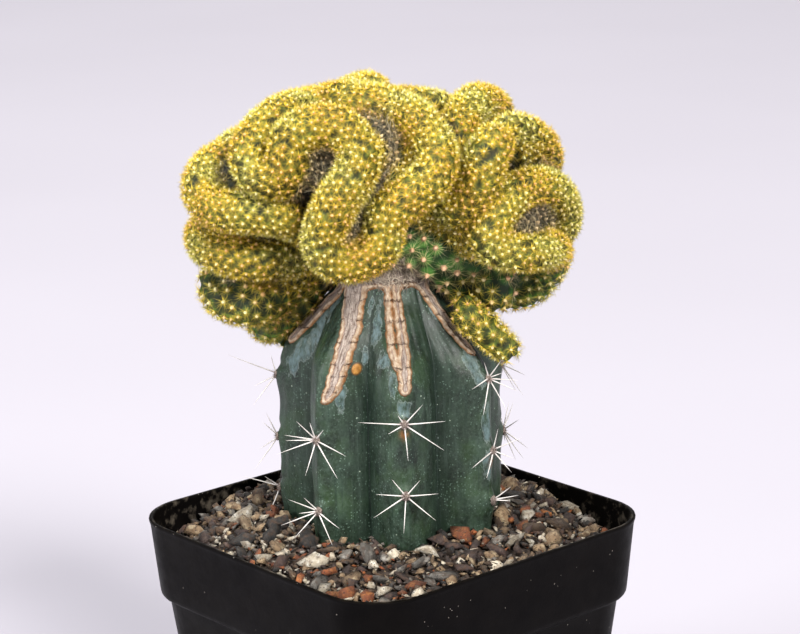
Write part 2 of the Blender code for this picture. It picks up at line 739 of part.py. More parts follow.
def relax_crossings(bm, rounds=12):
    """Pull crossing faces back towards their neighbours until none cross."""
    for _ in range(rounds):
        bad = crossing_faces(bm)
        if not bad:
            return
        moving = {vertex for index in bad for vertex in bm.faces[index].verts}
        eased = {}
        for vertex in moving:
            around = [edge.other_vert(vertex).co for edge in vertex.link_edges]
            middle = sum(around, Vector()) / len(around)
            eased[vertex] = vertex.co.lerp(middle, 0.6)
        for vertex, spot in eased.items():
            vertex.co = spot
        bm.normal_update()


def stock_room(middle, out):
    """Free distance along a direction before the stock is met."""
    for step in (0.8, 1.6, 2.4, 3.4, 4.6, OPEN_ROOM):
        seen = middle + out * step - Vector((STOCK_SHIFT, 0, 0))
        inside = math.hypot(seen.x, seen.y) < stock_radius(math.atan2(seen.x, -seen.y), seen.z, 1.2)
        if seen.z < GRAFT_HEIGHT and inside:
            return step - 0.8
    return OPEN_ROOM


def raise_tubercles(bm, fine):
    """Lift the middle of every face into a low pyramid on the finer skin."""
    bm.faces.ensure_lookup_table()
    bm.normal_update()
    tree = BVHTree.FromBMesh(bm)
    floor = GRAFT_HEIGHT + 2.5
    apexes, raised = [], {}
    for face in list(bm.faces):
        flat, out = face.calc_center_median(), face.normal.copy()
        middle = fine.find_nearest(flat)[0]
        if (middle - flat).length > 1.5:
            middle = flat
        if middle.z < floor and math.hypot(middle.x, middle.y) < 18:
            continue
        hit = tree.ray_cast(middle + out * 0.02, out, OPEN_ROOM)
        room = hit[3] if hit[0] is not None else OPEN_ROOM
        room = min(room, stock_room(middle, out))
        height = min(TUBERCLE, room * 0.28)
        made = bmesh.ops.poke(bm, faces=[face])
        made["verts"][0].co = middle + out * height
        raised[made["verts"][0]] = middle
        if room > 4.0:
            apexes.append((made["verts"][0], out))
    for _ in range(6):
        bad = crossing_faces(bm)
        for apex in {vertex for index in bad for vertex in bm.faces[index].verts} & set(raised):
            apex.co = apex.co.lerp(raised[apex], 0.5)
    return [(apex.co.copy(), out) for apex, out in apexes]


def make_crest(surface, plant):
    """The folded body with raised tubercles and needles, in one piece."""
    dice = random.Random(3)
    crest = crest_mass()
    soften = crest.modifiers.new("soften", "SMOOTH")
    soften.factor = 0.5
    soften.iterations = 4
    bake(crest)
    bm = bmesh.new()
    bm.from_mesh(crest.data)
    keep_largest(bm)
    bm.to_mesh(crest.data)
    bm.free()
    # even four-sided faces that follow the rolls
    bpy.ops.object.select_all(action="DESELECT")
    crest.select_set(True)
    bpy.context.view_layer.objects.active = crest
    fine = skin_of(crest)
    bpy.ops.object.quadriflow_remesh(mode="FACES", target_faces=CREST_FACES, seed=1)
    bm = bmesh.new()
    bm.from_mesh(crest.data)
    bm.transform(Matrix.Scale(1 / MM, 4))
    for vertex in bm.verts:
        vertex.co = fine.find_nearest(vertex.co)[0]
    for _ in range(3):
        clear_stock(bm, 2.0)
        relax_crossings(bm)
    clear_stock(bm, 2.0)
    print("crest skin", len(bm.faces), "faces, crossing:", len(crossing_faces(bm)))
    apexes = raise_tubercles(bm, fine)
    bmesh.ops.triangulate(bm, faces=bm.faces)
    print("crest", len(bm.faces), "faces, crossing:", len(crossing_faces(bm)))
    bpy.data.objects.remove(crest)
    crest = add_object("crest", bm, surface)
    # needles spread evenly: each new one stands farthest from those before it
    seats = [apex for apex, _ in apexes]
    distance = [1e9] * len(seats)
    chosen, index = [], max(range(len(seats)), key=lambda k: seats[k].z)
    while len(chosen) < NEEDLE_COUNT:
        chosen.append(index)
        distance[index] = -1
        for k, seat in enumerate(seats):
            if distance[k] > 0:
                distance[k] = min(distance[k], (seat - seats[index]).length)
        index = max(range(len(seats)), key=lambda k: distance[k])
    needles = []
    for k in chosen:
        seat, out = apexes[k]
        lean = Vector([dice.uniform(-0.25, 0.25) for _ in range(3)])
        way = (out + lean).normalized()
        tip = seat + way * dice.uniform(*NEEDLE_LENGTH)
        # the rim stays the widest part of the whole
        seen = plant.matrix_world.to_quaternion() @ tip
        if max(abs(seen.x), abs(seen.y)) > RIM_HALF - 0.2:
            continue
        needles.append(spike(seat - out * 0.8, tip, NEEDLE_RADIUS))
    fuse(crest, needles)
    return plant_on(crest, plant)


def main():
    for thing in list(bpy.data.objects):
        bpy.data.objects.remove(thing)
    plant = bpy.data.objects.new("plant", None)
    plant.location = (0, 0, POT_HEIGHT * MM)
    plant.rotation_euler = (0, 0, math.radians(FACING))
    bpy.context.scene.collection.objects.link(plant)
    bpy.context.view_layer.update()
    pot = make_pot(material("pot_plastic", (0.012, 0.012, 0.013), 0.42))
    soil = make_soil(material("potting_mix", (0.06, 0.045, 0.035), 0.95), plant)
    gravel = make_gravel(material("gravel_stones", (0.26, 0.20, 0.15), 0.85), plant)
    crest = make_crest(material("crest_skin", (0.52, 0.40, 0.05), 0.8), plant)
    stock = make_stock(material("stock_skin", (0.05, 0.12, 0.085), 0.5), plant,
                       [skin_of(gravel, plant), skin_of(crest, plant), skin_of(pot, plant)])
    for thing, angle in ((pot, 30), (soil, 30), (crest, 50), (stock, 35)):
        thing.data.shade_smooth()
        thing.data.set_sharp_from_angle(angle=math.radians(angle))
    for thing in (pot, soil, gravel, crest, stock):
        triangles = sum(len(face.vertices) - 2 for face in thing.data.polygons)
        print(thing.name, triangles, "triangles")


main()
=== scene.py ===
# %% [markdown]
# # A brain cactus in its pot
#
# A brain cactus is a crested plant. Its growing tip has turned from a point into a line,
# so the stem widens into a wavy ridge that folds over itself like a brain. Such plants
# grow slowly on their own roots, so this one is grafted on a sturdy ribbed stock.
#
# The solids of this part are already made and loaded below as a fixed frame. This
# notebook dresses them: a fine folded body with thousands of small spine stars, a waxy
# stock with cork scars, loose grit, and a thin plastic pot.

# %% The frame and the tools
import itertools
import math

import bmesh
import bpy
import numpy as np
from mathutils import Matrix, Vector
from mathutils.bvhtree import BVHTree
from mathutils.kdtree import KDTree


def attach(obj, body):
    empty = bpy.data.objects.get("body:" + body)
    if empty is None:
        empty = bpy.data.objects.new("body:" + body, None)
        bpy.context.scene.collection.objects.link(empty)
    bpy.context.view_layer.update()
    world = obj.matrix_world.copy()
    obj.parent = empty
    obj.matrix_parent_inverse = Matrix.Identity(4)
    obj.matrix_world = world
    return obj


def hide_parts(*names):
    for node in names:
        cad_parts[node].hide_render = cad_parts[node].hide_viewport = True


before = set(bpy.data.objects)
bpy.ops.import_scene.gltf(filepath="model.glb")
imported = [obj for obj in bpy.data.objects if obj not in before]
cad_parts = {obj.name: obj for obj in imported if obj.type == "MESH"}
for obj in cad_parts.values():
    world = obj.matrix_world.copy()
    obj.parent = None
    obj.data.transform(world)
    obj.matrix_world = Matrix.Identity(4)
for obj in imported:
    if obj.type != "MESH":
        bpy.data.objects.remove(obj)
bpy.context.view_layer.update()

MM = 0.001

# %% [markdown]
# ## Two sets of axes
#
# The pot stands square in the part's own axes. The plant was turned in its pot so that
# its best side faces a corner, so everything that grows is easier to describe in axes of
# its own: right, back and up, counted in millimetres from the middle of the rim. One
# function takes those points to the part's axes.

# %% Sizes that everything hangs on
POT_HEIGHT = 85.0
BAND_HEIGHT = 19.0
BASE_HALF = 34.5
WALL = 1.2
FLOOR = 1.6
FACING = math.radians(49.3)
GRAFT_HEIGHT = 61.4


def from_plant(points):
    """Plant points (right, back, up) as points of the part, in millimetres."""
    points = np.asarray(points, float)
    x, y = points[:, 0], points[:, 1]
    turned = (x * math.cos(FACING) - y * math.sin(FACING),
              x * math.sin(FACING) + y * math.cos(FACING))
    return np.column_stack([*turned, points[:, 2] + POT_HEIGHT])


def unit(vectors):
    """The same directions with length one."""
    return vectors / np.maximum(np.linalg.norm(vectors, axis=-1, keepdims=True), 1e-9)


def smoothstep(value, start, end):
    """A soft switch from 0 at start to 1 at end."""
    t = np.clip((value - start) / (end - start), 0.0, 1.0)
    return t * t * (3 - 2 * t)


print("the plant is turned", round(math.degrees(FACING), 1), "degrees in its pot")

# %% [markdown]
# ## Making meshes from arrays
#
# The plant carries far too many spines to make one by one. Blender can take a whole
# mesh at once as arrays of points and faces, so every piece below goes through one
# function. A value that varies over a piece, such as how far a point lies from a scar's
# edge, is stored as an attribute, and the material reads it by name.

# %% Mesh helpers
TRIANGLES = []


def add_object(name, data):
    """A new object in the scene."""
    made = bpy.data.objects.new(name, data)
    bpy.context.scene.collection.objects.link(made)
    return made


def make_piece(name, points, faces, look, stands_for=(), smooth=True):
    """A piece of the object from millimetre points and arrays of faces."""
    groups = faces if isinstance(faces, list) else [faces]
    counts = np.concatenate([np.full(len(group), group.shape[1]) for group in groups])
    corners = np.concatenate([group.ravel() for group in groups])
    mesh = bpy.data.meshes.new(name)
    mesh.vertices.add(len(points))
    mesh.vertices.foreach_set("co", (np.asarray(points) * MM).astype(np.float32).ravel())
    mesh.loops.add(len(corners))
    mesh.loops.foreach_set("vertex_index", corners.astype(np.int32))
    mesh.polygons.add(len(counts))
    starts = np.concatenate([[0], np.cumsum(counts)[:-1]])
    mesh.polygons.foreach_set("loop_start", starts.astype(np.int32))
    mesh.update(calc_edges=True)
    if smooth:
        mesh.shade_smooth()
    mesh.materials.append(look)
    piece = add_object(name, mesh)
    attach(piece, "root")
    if stands_for:
        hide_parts(*stands_for)
    triangles = int((counts - 2).sum())
    TRIANGLES.append(triangles)
    print(name, len(points), "points,", triangles, "triangles, in all", sum(TRIANGLES))
    return piece


def paint(piece, name, values):
    """Store a number, a vector or a colour for each point of a piece."""
    values = np.asarray(values, np.float32)
    width = 1 if values.ndim == 1 else values.shape[1]
    kind, field = {1: ("FLOAT", "value"), 3: ("FLOAT_VECTOR", "vector"),
                   4: ("FLOAT_COLOR", "color")}[width]
    layer = piece.data.attributes.new(name, kind, "POINT")
    layer.data.foreach_set(field, values.ravel())


def wall_quads(rows, sides):
    """Four-sided faces between rows of points that run round a closed shape."""
    k = np.arange(sides)
    after = (k + 1) % sides
    return np.concatenate([np.column_stack([r * sides + k, r * sides + after,
                                            (r + 1) * sides + after, (r + 1) * sides + k])
                           for r in range(rows - 1)])


def end_caps(rows, sides):
    """One many-sided face at each end of such a wall."""
    k = np.arange(sides)
    return [np.array([k[::-1]]), np.array([k + (rows - 1) * sides])]


def tube_faces(rows, sides):
    """The wall of a closed tube, and its two ends as triangles."""
    last = (rows - 1) * sides
    caps = [(0, s + 1, s) for s in range(1, sides - 1)]
    caps += [(last, last + s, last + s + 1) for s in range(1, sides - 1)]
    return wall_quads(rows, sides), np.array(caps)


def copies(shape, count, step):
    """The faces of one shape repeated for many copies that lie step points apart."""
    shape = np.array(shape)
    return (shape[None] + (np.arange(count) * step)[:, None, None]).reshape(-1, shape.shape[1])


def arrays_of(bm):
    """Points and faces of a bmesh, which is freed."""
    bm.verts.index_update()
    points = np.array([vertex.co[:] for vertex in bm.verts])
    faces = np.array([[vertex.index for vertex in face.verts] for face in bm.faces])
    bm.free()
    return points, faces


def square_axes(ways):
    """Two directions square to each given one."""
    helper = np.where(np.abs(ways[:, 2:3]) < 0.9, [[0.0, 0.0, 1.0]], [[1.0, 0.0, 0.0]])
    side = unit(np.cross(ways, helper))
    return side, np.cross(ways, side)


def fan_out(side, other, turn):
    """Directions round each axis, at the given turns from its side towards its other."""
    return side[:, None] * np.cos(turn)[..., None] + other[:, None] * np.sin(turn)[..., None]


def tint(code):
    """A colour picked on screen, such as 2f4a3c, as the linear values a shader wants."""
    values = [int(code[k:k + 2], 16) / 255 for k in (0, 2, 4)]
    return [v / 12.92 if v < 0.04045 else ((v + 0.055) / 1.055) ** 2.4 for v in values] + [1.0]


print("helpers ready")

# %% [markdown]
# ## The camera first
#
# The camera stands where the photographer's did: a little above the plant, looking down
# by about fifteen degrees at a corner of the pot. A long lens keeps the far rolls of the
# crest almost as large as the near ones. The real camera was tilted slightly, so this
# one is too.

# %% Camera
VIEW_DISTANCE, VIEW_HEIGHT = 528.0, 185.2
PITCH, YAW, ROLL = math.radians(14.56), math.radians(-0.35), math.radians(-1.3)
FOCAL_PIXELS, IMAGE_WIDTH, SENSOR = 2350.0, 800.0, 36.0

plant_axes = Matrix.Translation((0, 0, POT_HEIGHT * MM)) @ Matrix.Rotation(FACING, 4, "Z")


def make_camera():
    look = Vector((-math.sin(YAW) * math.cos(PITCH), math.cos(YAW) * math.cos(PITCH),
                   -math.sin(PITCH)))
    right = look.cross(Vector((0, 0, 1))).normalized()
    up = right.cross(look)
    right, up = (right * math.cos(ROLL) + up * math.sin(ROLL),
                 up * math.cos(ROLL) - right * math.sin(ROLL))
    pose = Matrix((right, up, -look)).transposed().to_4x4()
    pose.translation = Vector((0, -VIEW_DISTANCE, VIEW_HEIGHT)) * MM
    data = bpy.data.cameras.new("camera")
    data.sensor_width = SENSOR
    data.lens = FOCAL_PIXELS * SENSOR / IMAGE_WIDTH
    data.clip_start = 0.01
    camera = add_object("camera", data)
    camera.matrix_world = plant_axes @ pose
    bpy.context.scene.camera = camera
    return camera


camera = make_camera()
print("lens", round(camera.data.lens, 1), "mm")

# %% [markdown]
# ## Floor and light
#
# A pale floor and pale surroundings throw soft light back from all sides. One large soft
# lamp stands high in front on the right and models the rolls, one hangs overhead, a weaker
# one on the left keeps the shade readable, and the last keeps the floor behind the plant
# as bright as in front. They are metres away, so their light hardly changes over the
# plant.

# %% Floor and lamps
def feed(tree, made, inputs):
    """Give a node its inputs: each is a plain value or the output of another node."""
    for key, value in inputs.items():
        if isinstance(value, bpy.types.NodeSocket):
            tree.links.new(value, made.inputs[key])
        else:
            made.inputs[key].default_value = value


def node(tree, kind, inputs=None, **settings):
    """Add a shader node; inputs maps socket names or numbers to values or to sockets."""
    made = tree.nodes.new("ShaderNode" + kind)
    for key, value in settings.items():
        setattr(made, key, value)
    feed(tree, made, inputs or {})
    return made


def maths(tree, operation, *values):
    """The sum, product or the like of numbers and sockets."""
    return node(tree, "Math", dict(enumerate(values)), operation=operation).outputs[0]


def times(tree, first, second):
    """The product of two masks."""
    return maths(tree, "MULTIPLY", first, second)


def mix_numbers(tree, share, low, high):
    """Go from one number to another by a share."""
    return node(tree, "Mix", {0: share, 2: low, 3: high}, data_type="FLOAT").outputs[0]


def noise(tree, place, scale, detail=2.0, rough=0.5):
    """Cloudy values from 0 to 1 at a place."""
    return node(tree, "TexNoise", {"Vector": place, "Scale": scale, "Detail": detail,
                                   "Roughness": rough}).outputs["Fac"]


def between(tree, value, start, end, low=0.0, high=1.0):
    """Map a number from one span to another, clamped."""
    return node(tree, "MapRange", {"Value": value, "From Min": start, "From Max": end,
                                   "To Min": low, "To Max": high}).outputs["Result"]


def blend_colours(tree, mask, low, high):
    """Go from one colour to another by a mask; a colour is a screen code or a socket."""
    low, high = (tint(colour) if isinstance(colour, str) else colour for colour in (low, high))
    return node(tree, "Mix", {0: mask, 6: low, 7: high}, data_type="RGBA").outputs[2]


def new_material(name):
    """An empty Principled material, its node tree and its shader."""
    made = bpy.data.materials.new(name)
    made.use_nodes = True
    return made, made.node_tree, made.node_tree.nodes["Principled BSDF"]


def floor_material():
    made, tree, shader = new_material("studio_paper")
    cloud = noise(tree, node(tree, "TexCoord").outputs["Object"], 3.0)
    shade = blend_colours(tree, cloud, "aeaab2", "b5b1b9")
    feed(tree, shader, {"Base Color": shade, "Roughness": 0.8})
    return made


def make_floor(radius=4.0, sides=96):
    bm = bmesh.new()
    bmesh.ops.create_circle(bm, cap_ends=True, radius=radius, segments=sides)
    mesh = bpy.data.meshes.new("floor")
    bm.to_mesh(mesh)
    bm.free()
    mesh.materials.append(floor_material())
    floor = add_object("floor", mesh)


def make_lamp(name, spot, size, power, colour, aim=(0.0, 0.0, 0.045)):
    """A square soft lamp at a place in the plant's axes, in metres, aimed at another."""
    data = bpy.data.lights.new(name, "AREA")
    data.shape = "SQUARE"
    data.size = size
    data.energy = power
    data.color = colour
    place, goal = plant_axes @ Vector(spot), plant_axes @ Vector(aim)
    turn = (goal - place).to_track_quat("-Z", "Y").to_matrix().to_4x4()
    add_object(name, data).matrix_world = Matrix.Translation(place) @ turn


def make_surroundings(colour, strength):
    world = bpy.data.worlds.new("surroundings")
    bpy.context.scene.world = world
    world.use_nodes = True
    tree = world.node_tree
    feed(tree, tree.nodes["Background"], {"Color": colour, "Strength": strength})


make_floor()
make_lamp("key", (1.7, -3.0, 2.5), 1.1, 275.0, (1.0, 0.985, 0.96))
make_lamp("top", (-1.0, -1.0, 3.2), 1.6, 110.0, (1.0, 1.0, 1.0))
make_lamp("left fill", (-3.0, -1.9, 1.5), 1.4, 130.0, (0.97, 0.98, 1.0))
make_lamp("far floor", (0.0, 2.9, 2.3), 1.6, 50.0, (1.0, 1.0, 1.0), aim=(0.0, 2.2, -0.085))
make_surroundings(tint("e6e2ee"), 0.15)
bpy.context.scene.view_settings.view_transform = "Standard"
print("stage set")

# %% [markdown]
# ## Shared shader groups
#
# Several finishes on this object are made of the same few effects: soft blotches, tiny
# specks, a fine uneven relief, and dust that settles on what faces up. Each is a node
# group with its own inputs, built once. A material places it and sets its scale and
# strength. Scales are counted per millimetre.

# %% Group helper
def new_group(name, inputs, outputs):
    """An empty shader group: its tree, the sockets it is given, and its output node."""
    tree = bpy.data.node_groups.new(name, "ShaderNodeTree")
    for title, value in inputs.items():
        socket = tree.interface.new_socket(title, in_out="INPUT", socket_type="NodeSocketFloat")
        socket.default_value = value
    for title in outputs:
        tree.interface.new_socket(title, in_out="OUTPUT", socket_type="NodeSocketFloat")
    return tree, tree.nodes.new("NodeGroupInput").outputs, tree.nodes.new("NodeGroupOutput")


def millimetres(tree, stretch=None):
    """Object coordinates in millimetres, with the height squeezed by an optional socket."""
    where = node(tree, "TexCoord")
    scaled = node(tree, "VectorMath", {0: where.outputs["Object"], 3: 1.0 / MM}, operation="SCALE")
    if stretch is None:
        return scaled.outputs["Vector"]
    parts = node(tree, "SeparateXYZ", {0: scaled.outputs["Vector"]})
    tall = times(tree, parts.outputs["Z"], stretch)
    joined = node(tree, "CombineXYZ", {0: parts.outputs["X"], 1: parts.outputs["Y"], 2: tall})
    return joined.outputs["Vector"]


print("group helper ready")

# %% Blotches, specks, relief and dust
def mottle_group():
    """Soft blotches: noise between two limits."""
    tree, given, result = new_group("mottle", {"Scale": 0.2, "Stretch": 1.0, "Detail": 3.0,
                                               "Low": 0.4, "High": 0.6}, ["Mask"])
    place = millimetres(tree, given["Stretch"])
    cloud = noise(tree, place, given["Scale"], given["Detail"], 0.6)
    feed(tree, result, {"Mask": between(tree, cloud, given["Low"], given["High"])})
    return tree


def speck_group():
    """Tiny round specks: a share of the cells of a Voronoi pattern, each with one dot."""
    tree, given, result = new_group("specks", {"Scale": 1.0, "Size": 0.2, "Share": 0.3}, ["Mask"])
    cells = node(tree, "TexVoronoi", {"Vector": millimetres(tree), "Scale": given["Scale"]})
    dot = maths(tree, "LESS_THAN", cells.outputs["Distance"], given["Size"])
    pick = node(tree, "SeparateColor", {0: cells.outputs["Color"]})
    kept = maths(tree, "LESS_THAN", pick.outputs[0], given["Share"])
    feed(tree, result, {"Mask": times(tree, dot, kept)})
    return tree


def relief_group():
    """A fine uneven height: broad waves with a grain on them."""
    tree, given, result = new_group("relief", {"Scale": 1.0, "Stretch": 1.0, "Grain": 0.4},
                                    ["Height"])
    place = millimetres(tree, given["Stretch"])
    broad = noise(tree, place, given["Scale"])
    fine = noise(tree, place, times(tree, given["Scale"], 5.0))
    feed(tree, result, {"Height": mix_numbers(tree, given["Grain"], broad, fine)})
    return tree


def dust_group():
    """Dust that lies where the surface faces up, in patches."""
    tree, given, result = new_group("settled dust", {"Amount": 0.5, "Scale": 0.6}, ["Mask"])
    facing = node(tree, "SeparateXYZ", {0: node(tree, "NewGeometry").outputs["Normal"]})
    level = between(tree, facing.outputs["Z"], 0.1, 0.95)
    cloud = noise(tree, millimetres(tree), given["Scale"], 6.0, 0.7)
    patchy = times(tree, level, between(tree, cloud, 0.35, 0.7))
    feed(tree, result, {"Mask": times(tree, patchy, given["Amount"])})
    return tree


GROUPS = {"mottle": mottle_group(), "specks": speck_group(), "relief": relief_group(),
          "dust": dust_group()}


def effect(tree, name, **values):
    """Place a shared group in a material and return its output."""
    made = tree.nodes.new("ShaderNodeGroup")
    made.node_tree = GROUPS[name]
    feed(tree, made, values)
    return made.outputs[0]


def attribute(tree, name, output="Fac"):
    """Read what paint() stored."""
    return node(tree, "Attribute", attribute_name=name).outputs[output]


def over(tree, colour, mask, code, share=1.0):
    """Lay a tint over a colour where a mask allows it, up to a share."""
    return blend_colours(tree, mask if share == 1.0 else times(tree, mask, share), colour, code)


def bump(tree, shader, height, distance):
    """Feed a height in millimetres to the shader's normal."""
    made = node(tree, "Bump", {"Height": height, "Distance": distance * MM, "Strength": 1.0})
    feed(tree, shader, {"Normal": made.outputs["Normal"]})


def roughen(tree, shader, distance, **values):
    """Raise a surface by the shared relief, up to a distance in millimetres."""
    bump(tree, shader, effect(tree, "relief", **values), distance)


def toned_material(name, patches, dark, looks):
    """A material that shows the painted tones, darkened a little in soft patches."""
    made, tree, shader = new_material(name)
    own = attribute(tree, "tone", "Color")
    cloud = effect(tree, "mottle", **patches, Low=0.3, High=0.7)
    darker = node(tree, "HueSaturation", {"Value": dark, "Color": own}).outputs["Color"]
    feed(tree, shader, {"Base Color": blend_colours(tree, cloud, darker, own), **looks})
    return made, tree, shader


print("groups:", sorted(GROUPS))

# %% [markdown]
# ## The pot
#
# A nursery pot is vacuum formed or moulded from thin black plastic. What gives it away
# is not its shape alone but its edges: a rounded lip, a soft step under the collar, and
# walls that bow a little between their corners. The wall is a loft through rounded
# squares, and the drain holes are cut with a Boolean.

# %% Pot shape
def square_ring(half, corner, z, bow=0.0, arc_steps=10, side_steps=8):
    """Points round a rounded square; bow lets its straight sides belly out or in."""
    points = []
    for quarter in range(4):
        turn = math.pi / 2 * quarter
        local = []
        reach = half - corner
        for k in range(arc_steps + 1):
            angle = math.pi / 2 * k / arc_steps
            local.append((reach + corner * math.cos(angle), reach + corner * math.sin(angle)))
        for k in range(1, side_steps):
            share = k / side_steps
            belly = bow * math.sin(math.pi * share) ** 2
            local.append((reach - 2 * reach * share, half + belly))
        for x, y in local:
            points.append((x * math.cos(turn) - y * math.sin(turn),
                           x * math.sin(turn) + y * math.cos(turn), z))
    return points


def pot_inside(z):
    """Half-width and corner radius of the pot's inner wall at height z."""
    band = POT_HEIGHT - BAND_HEIGHT
    heights = [FLOOR, band - 1.6, band + 0.6, POT_HEIGHT]
    return (np.interp(z, heights, [BASE_HALF - WALL - 0.1, 40.4, 42.3, 43.9]),
            np.interp(z, heights, [9.8, 12.0, 12.7, 13.2]))


def pot_profile():
    """Rows of half-width, corner radius, height and, where the wall bows, its bow, from the
    base's edge over the lip and down the inside to the floor."""
    band = POT_HEIGHT - BAND_HEIGHT
    rows = [(32.9, 10.1, 0.0), (33.7, 10.5, 0.08), (34.2, 10.8, 0.35), (34.5, 11.0, 0.9)]
    for share in np.arange(1, 10) / 9:
        rows.append((34.5 + 7.2 * share, 11 + 2 * share, 0.9 + (band - 2.3) * share,
                     -0.35 * math.sin(math.pi * share)))
    rows += [(41.85, 13.1, band - 1.0), (42.2, 13.25, band - 0.62), (42.7, 13.5, band - 0.4),
             (43.1, 13.7, band - 0.15), (43.4, 13.8, band + 0.35), (43.55, 13.9, band + 1.1)]
    for share in np.arange(1, 6) / 5:
        rows.append((43.55 + 1.2 * share, 13.9 + 0.1 * share, band + 1.1 + 16.3 * share,
                     0.12 * math.sin(math.pi * share)))
    return rows + [
        (44.9, 14, 84.1), (45.0, 14, 84.5), (44.93, 13.95, 84.8), (44.7, 13.85, 84.96),
        (44.45, 13.7, 85.0), (44.2, 13.55, 84.96), (43.98, 13.4, 84.75), (43.9, 13.3, 84.4),
        (43.7, 13.2, 82.0), (43.2, 13.0, 76.0), (42.3, 12.7, band + 0.6),
        (41.9, 12.5, band - 0.4), (40.9, 12.2, band - 1.2), (40.4, 12.0, band - 2.0),
        (36.0, 10.8, 28.0), (33.2, 9.8, FLOOR)]


DRAIN_HOLES = ((0, 0), (20, 20), (-20, 20), (20, -20), (-20, -20))


def drill_hole(pot, x, y, radius=3.5):
    """Cut one drain hole with an exact Boolean."""
    bm = bmesh.new()
    bmesh.ops.create_cone(bm, cap_ends=True, segments=40, radius1=radius * MM,
                          radius2=radius * MM, depth=8 * MM)
    bmesh.ops.translate(bm, verts=bm.verts, vec=(x * MM, y * MM, 0))
    mesh = bpy.data.meshes.new("drill")
    bm.to_mesh(mesh)
    bm.free()
    drill = add_object("drill", mesh)
    cut = pot.modifiers.new("drain", "BOOLEAN")
    cut.operation = "DIFFERENCE"
    cut.solver = "EXACT"
    cut.object = drill
    return drill


print("the pot's profile has", len(pot_profile()), "rows")

# %% Pot plastic
def pot_material():
    made, tree, shader = new_material("black_nursery_plastic")
    cloud = effect(tree, "mottle", Scale=0.09, Detail=4.0, Low=0.35, High=0.7)
    plastic = blend_colours(tree, cloud, "050404", "0b0908")
    haze = effect(tree, "dust", Amount=0.04, Scale=0.35)
    dusty = over(tree, plastic, haze, "5f5344")
    fine = effect(tree, "specks", Scale=0.7, Size=0.09, Share=0.12)
    speckled = over(tree, dusty, fine, "b5aea4", 0.4)
    coarse = effect(tree, "specks", Scale=0.2, Size=0.035, Share=0.2)
    final = over(tree, speckled, coarse, "cfc8bd", 0.6)
    splash = times(tree, attribute(tree, "inside"),
                   effect(tree, "mottle", Scale=0.35, Detail=5.0, Low=0.5, High=0.68))
    final = over(tree, final, splash, "7a7063", 0.35)
    rough = between(tree, effect(tree, "mottle", Scale=0.3, Detail=4.0, Low=0.3, High=0.75),
                    0.0, 1.0, 0.36, 0.52)
    feed(tree, shader, {"Base Color": final, "Roughness": rough, "Specular IOR Level": 0.04})
    roughen(tree, shader, 0.05, Scale=0.8, Grain=0.5)
    return made


def make_pot():
    rows = pot_profile()
    rings = [square_ring(*row) for row in rows]
    count, sides = len(rings), len(rings[0])
    points = np.array([point for ring in rings for point in ring])
    faces = [wall_quads(count, sides), *end_caps(count, sides)]
    pot = make_piece("pot_shell", points, faces, pot_material(), ["pot"])
    lip = next(r for r, row in enumerate(rows) if row[2] == POT_HEIGHT)
    paint(pot, "inside", (np.arange(len(points)) >= lip * sides).astype(float))
    drills = [drill_hole(pot, x, y) for x, y in DRAIN_HOLES]
    shape = pot.evaluated_get(bpy.context.evaluated_depsgraph_get())
    drilled = bpy.data.meshes.new_from_object(shape)
    pot.modifiers.clear()
    pot.data = drilled
    for drill in drills:
        bpy.data.objects.remove(drill)
    drilled.set_sharp_from_angle(angle=math.radians(42))
    print("pot has", len(drilled.polygons), "faces after drilling")


make_pot()

# %% [markdown]
# ## Potting mix
#
# The mix inside shows only through the drain holes and between the stones, so its solid
# stays as it is and takes a dark, crumbly material.

# %% Soil
def soil_material():
    made, tree, shader = new_material("potting_mix")
    lumps = effect(tree, "mottle", Scale=0.5, Detail=6.0, Low=0.35, High=0.65)
    earth = blend_colours(tree, lumps, "2a211b", "5b4a3c")
    bits = effect(tree, "specks", Scale=0.7, Size=0.3, Share=0.25)
    earth = over(tree, earth, bits, "8f7f6a")
    feed(tree, shader, {"Base Color": earth, "Roughness": 0.95})
    roughen(tree, shader, 0.8, Scale=0.8, Grain=0.5)
    return made


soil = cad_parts["soil"]
soil.data.materials.clear()
soil.data.materials.append(soil_material())
print("soil keeps its", len(soil.data.polygons), "faces")

# %% [markdown]
# ## Grit
#
# The top dressing is a mix of crushed stone: charcoal and plum-coloured lava, rusty and
# brown chips, tan and cream ones, and grey. Real chips have flat broken faces that meet
# in sharp corners. The hull round a few random points has the same look, so a small
# library of such hulls is made first, and each chip is one of them, turned, stretched
# and dropped onto the bed. Big chips are placed first and small ones fill in between.

# %% Bed and chips
def surface_height(x, y):
    """Height of the bed in part millimetres: level with the rim, falling into two corners."""
    right = x * math.cos(FACING) + y * math.sin(FACING)
    front = x * math.sin(FACING) - y * math.cos(FACING)
    away = (5.8 * smoothstep(abs(right), 34, 56) + 2.8 * smoothstep(np.hypot(right, front), 27, 46)
            + 0.6 * smoothstep(abs(front), 40, 56))
    return POT_HEIGHT + 0.6 - away + 0.55 * np.sin(0.31 * x) * np.cos(0.27 * y)


def room_in_pot(x, y, z):
    """Distance from a point to the pot's inner wall, in millimetres."""
    half, corner = pot_inside(z)
    dx, dy = np.abs(x) - (half - corner), np.abs(y) - (half - corner)
    outside = np.hypot(np.maximum(dx, 0), np.maximum(dy, 0)) + np.minimum(np.maximum(dx, dy), 0)
    return corner - outside


def chip_shape(dice, corners):
    """The hull round random points: a stone with flat broken faces."""
    bm = bmesh.new()
    for _ in range(corners):
        way = unit(dice.normal(size=3))
        bm.verts.new(way * dice.uniform(0.8, 1.05))
    hull = bmesh.ops.convex_hull(bm, input=bm.verts)
    spare = [item for item in hull["geom_interior"] if isinstance(item, bmesh.types.BMVert)]
    bmesh.ops.delete(bm, geom=spare, context="VERTS")
    bmesh.ops.triangulate(bm, faces=bm.faces)
    return arrays_of(bm)


